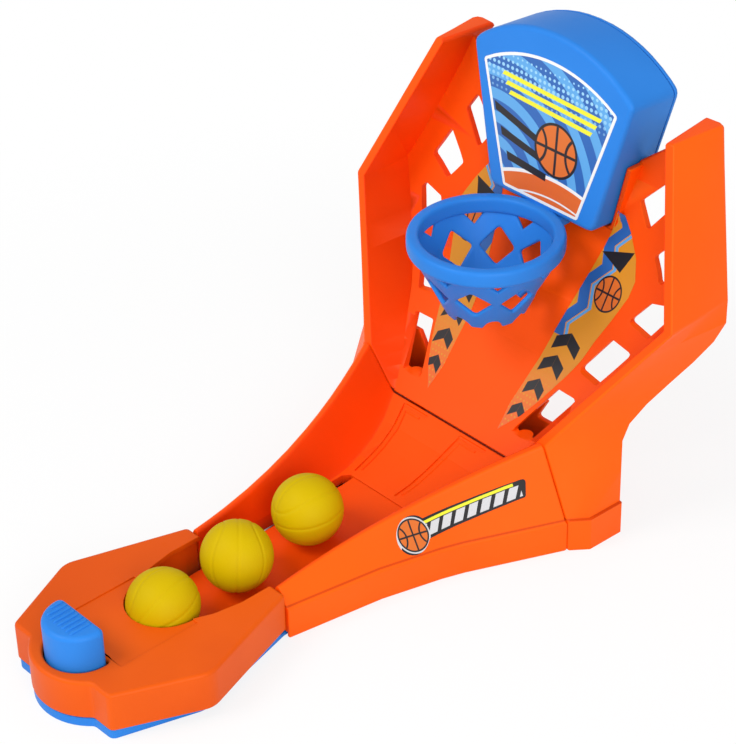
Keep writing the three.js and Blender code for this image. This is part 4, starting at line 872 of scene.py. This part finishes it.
def hoop_moulding():
    slope = math.atan2(NET_TOP_RADIUS - NET_HEM_RADIUS, NET_TOP - NET_HEM)
    hoop = Pattern("hoop_moulding", cells=NET_CELLS, turn=math.radians(NET_TURN), wall=NET_WALL * MM,
                   slope=slope, hem=NET_HEM * MM, hem_radius=NET_HEM_RADIUS * MM,
                   rim_radius=RIM_MIDDLE * MM, rim_half_wide=RIM_HALF_WIDE * MM, rim_low=RIM_LOW * MM,
                   rim_top=RIM_TOP * MM, middle=HOOP_Y * MM)
    size = hoop.size

    def sheet(side):
        """The cell bent round the cone, and set off to one side by the wall's rounded section."""
        turn, _, z = hoop.position()
        flat = 1.0 - (1.0 - hoop.named("inset")) ** 2.0
        rounded = flat.sum("MAXIMUM", 0.0) ** 0.5 * size("wall") / 2.0 * side
        radius = size("hem_radius") + (z - size("hem")) * size("slope").sum("TANGENT")
        reach = radius + rounded * size("slope").sum("COSINE")
        height = z - rounded * size("slope").sum("SINE")
        place = hoop.vector(turn.sum("SINE") * reach, turn.sum("COSINE") * reach, height)
        return hoop.moved(hoop.start, place)

    def welded(geometry):
        return hoop.node("GeometryNodeMergeByDistance", sockets={"Geometry": geometry, "Distance": NET_WELD})

    def flipped(mesh):
        return hoop.node("GeometryNodeFlipFaces", sockets={"Mesh": mesh})

    step = math.tau / size("cells")
    index = hoop.node("GeometryNodeInputIndex")
    points = hoop.node("GeometryNodePoints", sockets={"Count": size("cells")})
    cell = hoop.joined(flipped(sheet(1.0)), sheet(-1.0))
    turned = hoop.copies(points, cell, Rotation=hoop.vector(z=index * step - size("turn")))
    net = welded(hoop.node("GeometryNodeRealizeInstances", sockets={"Geometry": turned}))
    strip = hoop.node("GeometryNodeMeshGrid", sockets={
        "Size X": 1.0, "Size Y": 1.0, "Vertices X": RIM_TURN_STEPS + 1, "Vertices Y": RIM_SECTION_STEPS + 1})
    across, around, _ = hoop.position()
    angle = across * math.tau
    section = around * math.tau
    out = section.sum("COSINE")
    up = section.sum("SINE")
    radius = size("rim_radius") + out.sum("SIGN") * abs(out) ** RIM_SQUARE * size("rim_half_wide")
    half_high = (size("rim_top") - size("rim_low")) / 2.0
    height = size("rim_low") + half_high * (1.0 + up.sum("SIGN") * abs(up) ** RIM_SQUARE)
    bent = hoop.moved(strip, hoop.vector(angle.sum("SINE") * radius, angle.sum("COSINE") * radius, height))
    ring = hoop.placed(hoop.joined(net, flipped(welded(bent))), hoop.vector(y=size("middle")))
    tab = hoop.node("GeometryNodeMeshCube", sockets={
        "Size": (2 * TAB_HALF * MM, (TAB_FAR - TAB_NEAR) * MM, TAB_THICK * MM)})
    tab = hoop.placed(tab, (0, (TAB_FAR + TAB_NEAR) / 2 * MM, (TAB_TOP - TAB_THICK / 2) * MM))
    hoop.close(hoop.joined(ring, tab), blue_plastic)
    return hoop


hoop = grown("hoop_moulding", net_cell(), hoop_moulding())
round_edges(hoop, HOOP_EDGE, HOOP_CREASE)
even_shading(hoop, HOOP_CREASE)
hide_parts("hoop")
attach(hoop, "frame")

# Screws, pins and spring
# Twelve zinc-plated screws with low heads and cross slots hold the casings, two steel pins carry
# the lever and the tongue, and a spring of bright wire lifts the button.

HEAD_RADIUS = 2.25
HEAD_HIGH = 1.1
HEAD_EDGE = 0.3
SCREW_CREASE = 50
SLOT_WIDE = 0.7
SLOT_LONG = 2.9
SLOT_DEEP = 0.6
SHANK_RADIUS = 1.05
THREAD_SHARE = 0.3
THREADS = 12
UPRIGHT_SCREWS = [f"base_screw_{i}" for i in (1, 2, 3, 4)]
UPRIGHT_SCREWS += ["chute_screw_1", "chute_screw_2", "tower_screw_1", "tower_screw_2"]
COVER_SCREWS = [f"cover_screw_{i}" for i in (1, 2, 3, 4)]


def bright_zinc():
    finish = Finish("zinc_plating")
    streaks = finish.noise(900, 3)
    return finish.close(finish.shader(
        Base_Color=finish.mix(streaks, (0.5, 0.51, 0.53), (0.66, 0.67, 0.7)),
        Metallic=1.0,
        Roughness=0.24 + streaks * 0.16,
    ))


def screw_places():
    """A point at each screw's head, with its length and its lean from the upright."""
    shape = bmesh.new()
    long = shape.verts.layers.float.new("long")
    lean = shape.verts.layers.float.new("lean")
    tilt = math.radians(BOARD_LEAN)
    for name in UPRIGHT_SCREWS:
        low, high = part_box(name)
        vert = shape.verts.new(((low.x + high.x) / 2, (low.y + high.y) / 2, low.z))
        vert[long] = high.z - low.z
    for name in COVER_SCREWS:
        low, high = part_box(name)
        back = HEAD_RADIUS * MM * math.sin(tilt)
        up = HEAD_RADIUS * MM * math.cos(tilt)
        vert = shape.verts.new(((low.x + high.x) / 2, high.y - back, low.z + up))
        vert[long] = (high.y - low.y - 2 * back) / math.cos(tilt)
        vert[lean] = math.pi / 2 - tilt
    return written(shape, bpy.data.meshes.new("screw_places"))


def case_screws():
    screw = Pattern("case_screws", head_radius=HEAD_RADIUS * MM, head_high=HEAD_HIGH * MM,
                    slot_wide=SLOT_WIDE * MM, slot_long=SLOT_LONG * MM, slot_deep=SLOT_DEEP * MM,
                    shank_radius=SHANK_RADIUS * MM, thread_share=THREAD_SHARE, threads=THREADS)
    size = screw.size
    disc = screw.node("GeometryNodeMeshCylinder", {"fill_type": "NGON"}, {
        "Vertices": 32, "Radius": size("head_radius"), "Depth": size("head_high")})
    disc = screw.placed(disc, screw.vector(z=size("head_high") / 2.0))
    long, wide, deep = (size(f"slot_{way}") for way in ("long", "wide", "deep"))
    bars = [screw.node("GeometryNodeMeshCube", sockets={"Size": screw.vector(x, y, deep * 2.0)})
            for x, y in ((long, wide), (wide, long))]
    head = screw.node("GeometryNodeMeshBoolean", {"operation": "DIFFERENCE", "solver": "EXACT"}, {
        "Mesh 1": disc, "Mesh 2": bars, "Self Intersection": True})
    shank = screw.node("GeometryNodeMeshCylinder", {"fill_type": "NGON"}, {
        "Vertices": 14, "Side Segments": 24, "Radius": 1.0, "Depth": 1.0})
    turn = screw.vector(x=screw.named("lean"))
    heads = screw.copies(screw.start, head, Rotation=turn)
    x, y, z = screw.position()
    ridge = 1.0 - abs(((z + 0.5) * size("threads")).sum("FRACT") - 0.5) * size("thread_share")
    shank = screw.moved(shank, screw.vector(x * ridge, y * ridge, z + 0.5))
    radius = size("shank_radius")
    stretch = screw.vector(radius, radius, screw.named("long"))
    shanks = screw.copies(screw.start, shank, Rotation=turn, Scale=stretch)
    screw.close(screw.joined(heads, shanks), zinc)
    return screw


zinc = bright_zinc()
screws = grown("case_screws", screw_places(), case_screws())
round_edges(screws, HEAD_EDGE, SCREW_CREASE)
even_shading(screws, SCREW_CREASE)
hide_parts(*UPRIGHT_SCREWS, *COVER_SCREWS)
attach(screws, "frame")
for name in ("lever_pin", "tongue_pin", "return_spring"):
    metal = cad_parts[name].data.materials
    metal.clear()
    metal.append(zinc)

# Balls
# Three matt yellow balls of 27 mm, blown hollow, with the fine grooves of a basketball and the
# pebbled skin of the mould.

GROOVE_WIDE = 0.045
GROOVE_DEEP = 0.02
BOW_CENTRE = 1.15
BOW_FLAT = 0.9
BOW_RADIUS = 0.78
BALL_TURNS = {"ball_1": (0.3, 0.5, 0.2), "ball_2": (1.2, 0.1, 0.9), "ball_3": (0.6, 1.4, 0.4)}
YELLOW = (0.61, 0.43, 0.0004)
YELLOW_DEEP = (0.56, 0.385, 0.0003)


def ball_plastic():
    finish = Finish("ball_plastic")
    pebbles = finish.noise(1400)
    clouds = finish.noise(60)
    return finish.close(finish.shader(
        Base_Color=finish.mix(clouds, YELLOW_DEEP, YELLOW),
        Roughness=0.5 + pebbles * 0.1,
        Normal=finish.bump(pebbles, 0.3, 0.0001),
        Specular_IOR_Level=SHINE / 2,
    ))


def basketball(name, turn, material):
    """A ball with two straight grooves and two bowed ones."""
    low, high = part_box(name)
    centre = (low + high) / 2
    radius = (high.x - low.x) / 2
    shape = bmesh.new()
    bmesh.ops.create_icosphere(shape, subdivisions=6, radius=1)
    for vert in shape.verts:
        p = vert.co.normalized()
        bows = [abs(math.hypot(p.x + side * BOW_CENTRE, p.z * BOW_FLAT) - BOW_RADIUS) for side in (-1, 1)]
        near = min(abs(p.x), abs(p.z), *bows) / GROOVE_WIDE
        vert.co = p * (1 - GROOVE_DEEP * math.exp(-near * near * 2))
    shape.transform(Matrix.Translation(centre) @ turn.to_matrix().to_4x4() @ Matrix.Scale(radius, 4))
    mesh = written(shape, bpy.data.meshes.new(name))
    mesh.shade_smooth()
    mesh.materials.append(material)
    piece = linked(f"{name}_grooved", mesh)
    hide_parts(name)
    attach(piece, name)


yellow_plastic = ball_plastic()
for name, turn in BALL_TURNS.items():
    basketball(name, Euler(turn), yellow_plastic)

# Printed labels
# Glossy vinyl labels, 0.13 mm thick, die cut and stuck on the backboard, the net panel and the
# right wall of the chute. Their prints are flat shapes: stripes, arrowheads, dots and a ball.

VINYL = 0.13
LABEL_LIFT = 0.15
LABEL_PITCH = 2.5
LABEL_CREASE = 40
PRINT_SOFT = 0.08
MOTIF_RIM = 0.9
MOTIF_BOW = 1.3
MOTIF_BOW_RADIUS = 0.85
MOTIF_LINE = 0.055
INK_BLACK = (0.012, 0.01, 0.012)
INK_BLUE = (0.02, 0.12, 0.42)
INK_SKY = (0.1, 0.36, 0.72)
INK_PALE = (0.3, 0.6, 0.85)
INK_OCHRE = (0.66, 0.27, 0.012)
INK_ORANGE = (0.72, 0.13, 0.012)
INK_BALL = (0.68, 0.15, 0.015)
INK_WHITE = (0.82, 0.82, 0.8)
INK_YELLOW = (0.8, 0.78, 0.03)
INK_SILVER = (0.6, 0.6, 0.62)
BOARD_ARCH = 62.8
BOARD_ARCH_CENTRE = 101.4
BOARD_ARCH_HALF = 34
BOARD_FOOT = 106.5
BOARD_FOOT_HALF = 19.3
BOARD_CORNER = 1.6
BOARD_BORDER = 1.2
COURT_RADIUS = 66
PANEL_LABEL = [
    (19.2, 31.5), (25.2, 37.5), (29.6, 44), (34.6, 53.3), (37.1, 58.7), (39.2, 66.3), (42.4, 74.5),
    (45.7, 84.1), (45.9, 89.7), (42.5, 97.2), (37.2, 105), (31.4, 112), (28.5, 101), (26.2, 91.2),
    (24, 81.2), (22.3, 73.6), (20.5, 64.1), (19.4, 51.7), (18.2, 39.2)]
WAVE_FROM = 63
SIDE_BALL = (99.5, 21.1, 5.8)
SIDE_BAND_RISE = 0.17
SIDE_BAND_HALF = 3.3
SIDE_BAND_END = 142


def label_blank(name, outline, carrier, look):
    """A sheet cut to an outline of (a, b) in millimetres and laid on the carrier along look(a, b)."""
    tree = ray_tree(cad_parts[carrier].data)
    shape = bmesh.new()
    shape.faces.new([shape.verts.new((a, b, 0)) for a, b in outline])
    for axis in (0, 1):
        low = min(point[axis] for point in outline)
        high = max(point[axis] for point in outline)
        for step in range(1, math.ceil((high - low) / LABEL_PITCH)):
            normal = Vector((axis == 0, axis == 1, 0))
            cut = normal * (low + step * LABEL_PITCH)
            geometry = shape.verts[:] + shape.edges[:] + shape.faces[:]
            bmesh.ops.bisect_plane(shape, geom=geometry, plane_co=cut, plane_no=normal)
    for vert in shape.verts:
        start, along = look(vert.co.x, vert.co.y)
        hit = tree.ray_cast(start, along)
        if hit[0] is None:
            hit = tree.find_nearest(start + along * 0.1)
        vert.co = hit[0] - along * LABEL_LIFT * MM
    bmesh.ops.triangulate(shape, faces=[f for f in shape.faces if len(f.verts) > 4])
    return written(shape, bpy.data.meshes.new(name))


def label(name, outline, carrier, look, material):
    mesh = label_blank(name, outline, carrier, look)
    piece = linked(name, mesh)
    if mesh.polygons[0].normal.dot(look(*outline[0])[1]) > 0:
        mesh.flip_normals()
    thick = piece.modifiers.new("vinyl", "SOLIDIFY")
    thick.thickness = VINYL * MM
    thick.offset = -1
    apply_modifiers(piece)
    piece.data.shade_smooth()
    piece.data.set_sharp_from_angle(angle=math.radians(LABEL_CREASE))
    piece.data.materials.append(material)
    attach(piece, "frame")


class Print(Finish):
    """A label's print, drawn with flat shapes in the label's own two directions, in millimetres."""

    def __init__(self, name, across, up):
        super().__init__(name)
        self.a = self.millimetres(across)
        self.b = self.millimetres(up)
        self.ink = INK_BLACK

    def edge(self, distance):
        """1 where the distance is above 0, with a printed edge 0.16 mm soft."""
        return self.smooth(distance, -PRINT_SOFT, PRINT_SOFT)

    def disc(self, a, b, radius):
        return self.edge(radius - self.reach(a, b))

    def reach(self, a, b):
        return ((self.a - a).sum("POWER", 2) + (self.b - b).sum("POWER", 2)).sum("SQRT")

    def convex(self, points):
        """A convex shape with its corners listed anticlockwise."""
        inside = None
        for (a, b), (c, d) in zip(points, points[1:] + points[:1]):
            long = math.hypot(c - a, d - b)
            side = (self.b - b) * ((c - a) / long) - (self.a - a) * ((d - b) / long)
            inside = side if inside is None else inside.sum("MINIMUM", side)
        return self.edge(inside)

    def dots(self, scale):
        """The distance from the dots of a raster."""
        return self.node("ShaderNodeTexVoronoi", {"distance": "EUCLIDEAN"}, {
            "Vector": self.place(), "Scale": scale, "Randomness": 0.0})

    def lay(self, mask, colour):
        self.ink = self.mix(mask, self.ink, colour)

    def printed(self):
        wear = self.noise(45, 3)
        return self.close(self.shader(
            Base_Color=self.ink, Roughness=0.3 + wear * 0.12, Specular_IOR_Level=0.4))


def ball_motif(ink, a, b, radius):
    """A plain ball: an orange disc with a dark rim and four dark seams."""
    ink.lay(ink.disc(a, b, radius), INK_BLACK)
    within = ink.disc(a, b, radius * MOTIF_RIM)
    ink.lay(within, INK_BALL)
    bows = [ink.reach(a + side * radius * MOTIF_BOW, b) - radius * MOTIF_BOW_RADIUS for side in (-1, 1)]
    for seam in (ink.a - a, ink.b - b, *bows):
        ink.lay(ink.edge(radius * MOTIF_LINE - abs(seam)) * within, INK_BLACK)


def board_print():
    """Rings, dots and slanted bars over a court, with a plain ball, yellow stripes and a white border."""
    ink = Print("board_print", "X", "Z")
    ink.ink = INK_BLUE
    rings = (ink.reach(-26, 108) / 9).sum("FRACT")
    ink.lay(ink.smooth(rings, 0.5, 0.53), INK_SKY)
    ink.lay(ink.smooth(ink.dots(420.0), 0.34, 0.3) * ink.smooth(ink.b, 136, 156), INK_PALE)
    court = ink.reach(6, 52)
    ink.lay(ink.edge(COURT_RADIUS - court), INK_ORANGE)
    ink.lay(ink.edge(0.7 - abs(court - COURT_RADIUS)), INK_WHITE)
    ink.lay(ink.edge(0.35 - abs(court - (COURT_RADIUS - 8))), INK_WHITE)
    for count in range(3):
        top = 139 - count * 9
        left = -27 + count * 4
        bar = [(left, top), (left + 1, top - 3.4), (2, top - 11 + count * 3), (2, top - 8 + count * 3)]
        ink.lay(ink.convex(bar), INK_BLACK)
    ball_motif(ink, 6, 130, 11)
    for count in range(3):
        low = 144 + count * 3.4
        more = count * 2
        stripe = [(-20 - more, low), (22 + more, low - 2), (23 + more, low - 0.2), (-19 - more, low + 1.8)]
        ink.lay(ink.convex(stripe), INK_YELLOW)
    field = ink.convex([(-18.4, 107.7), (18.4, 107.7), (36, 165), (-36, 165)])
    arch = ink.edge(BOARD_ARCH - BOARD_BORDER - ink.reach(0, BOARD_ARCH_CENTRE))
    ink.lay(1.0 - field * arch, INK_WHITE)
    return ink.printed()


def board_outline():
    """The board label's fan: a straight foot and sides under an arch, with rounded corners."""
    turn = math.asin(BOARD_ARCH_HALF / BOARD_ARCH)
    arch = [turn * (1 - step / 12) for step in range(25)]
    top = [(BOARD_ARCH * math.sin(a), BOARD_ARCH_CENTRE + BOARD_ARCH * math.cos(a)) for a in arch]
    foot = [(0, BOARD_FOOT), (BOARD_FOOT_HALF, BOARD_FOOT)]
    right = softened([*foot, top[0], top[2]], BOARD_CORNER, closed=False)
    left = [Vector((-p.x, p.y)) for p in reversed(right)]
    return [tuple(p) for p in right[:-1]] + top[2:-2] + [tuple(p) for p in left[1:-1]]


def panel_print(side, hand):
    """An ochre ground with arrowheads, a blue zigzag, a triangle and a plain ball."""
    ink = Print(f"panel_print_{hand}", "X", "Z")
    ink.a = ink.a * side
    ink.ink = INK_OCHRE
    ink.lay(ink.smooth(ink.b, 62, 34), INK_ORANGE)
    ink.lay(ink.smooth(ink.dots(600.0), 0.26, 0.2) * ink.smooth(ink.b, 60, 44), INK_OCHRE)
    wave = abs((ink.b / 15).sum("FRACT") - 0.5) * 9
    line = ink.a - (16 + (ink.b - 60) * 0.27) - wave
    ink.lay(ink.edge(2.6 - abs(line - 3)) * ink.edge(ink.b - WAVE_FROM), INK_BLUE)
    ink.lay(ink.edge(0.7 - abs(line - 6.8)) * ink.edge(ink.b - WAVE_FROM), INK_SKY)
    for count in range(4):
        low = 36 + count * 7.4
        wide = 3.4 + count * 0.9
        tall = 3.0 + count * 0.4
        left = 19.5 + count * 0.9
        middle = left + wide
        right = left + 2 * wide
        waist = low + tall * 0.7
        peak = low + tall * 1.7
        ink.lay(ink.convex([(left, low), (middle, waist), (middle, peak), (left, low + tall)]), INK_BLACK)
        ink.lay(ink.convex([(middle, waist), (right, low), (right, low + tall), (middle, peak)]), INK_BLACK)
    ball_motif(ink, 36.5, 82, 6.2)
    ink.lay(ink.convex([(27, 94), (38, 90), (41.5, 98.5)]), INK_BLACK)
    return ink.printed()


def side_print():
    """A ball with a trail of slanted bars behind it, dark at the die cut."""
    ink = Print("side_print", "Y", "Z")
    ball_a, ball_b, radius = SIDE_BALL
    ink.a = ink.a - ORIGIN_Y
    lean = ink.b - ball_b - (ink.a - ball_a) * SIDE_BAND_RISE
    band = ink.edge(2.0 - abs(lean + 0.6)) * ink.edge(SIDE_BAND_END - 0.8 - ink.a)
    bars = ((ink.a - lean * 0.6) / 5.0).sum("FRACT")
    ink.lay(band * ink.smooth(bars, 0.3, 0.34), INK_SILVER)
    ink.lay(ink.edge(0.5 - abs(lean - 2.2)) * ink.edge(SIDE_BAND_END - 3 - ink.a), INK_YELLOW)
    ink.lay(ink.disc(ball_a, ball_b, radius + 0.5), INK_SILVER)
    ball_motif(ink, ball_a, ball_b, radius)
    return ink.printed()


def side_outline():
    """Die cut close round the ball and its trail."""
    ball_a, ball_b, radius = SIDE_BALL
    cut = radius + 0.7
    leave = math.radians(34)
    turns = [leave + (math.tau - 2 * leave) * step / 28 for step in range(29)]
    ball = [(ball_a + cut * math.cos(a), ball_b + cut * math.sin(a) + SIDE_BAND_RISE * cut * math.cos(a))
            for a in turns]
    end_b = ball_b + (SIDE_BAND_END - ball_a) * SIDE_BAND_RISE
    low_end = (SIDE_BAND_END, end_b - SIDE_BAND_HALF)
    high_end = (SIDE_BAND_END + 2, end_b + SIDE_BAND_HALF)
    tail = softened([ball[-1], low_end, high_end, ball[0]], 1.2, closed=False)
    return ball + [tuple(p) for p in tail[1:-1]]


label("board_label", board_outline(), "backboard_front",
      lambda a, b: (Vector((a, -50, b)) * MM, Vector((0, 1, 0))), board_print())
for side, hand in ((1, "right"), (-1, "left")):
    outline = [(side * a, b) for a, b in PANEL_LABEL]
    label(f"panel_label_{hand}", outline, "tower",
          lambda a, b: (Vector((a, 20, b)) * MM, Vector((0, 1, 0))), panel_print(side, hand))
label("side_label", side_outline(), "chute",
      lambda a, b: (Vector((90, a + ORIGIN_Y, b)) * MM, Vector((-1, 0, 0))), side_print())
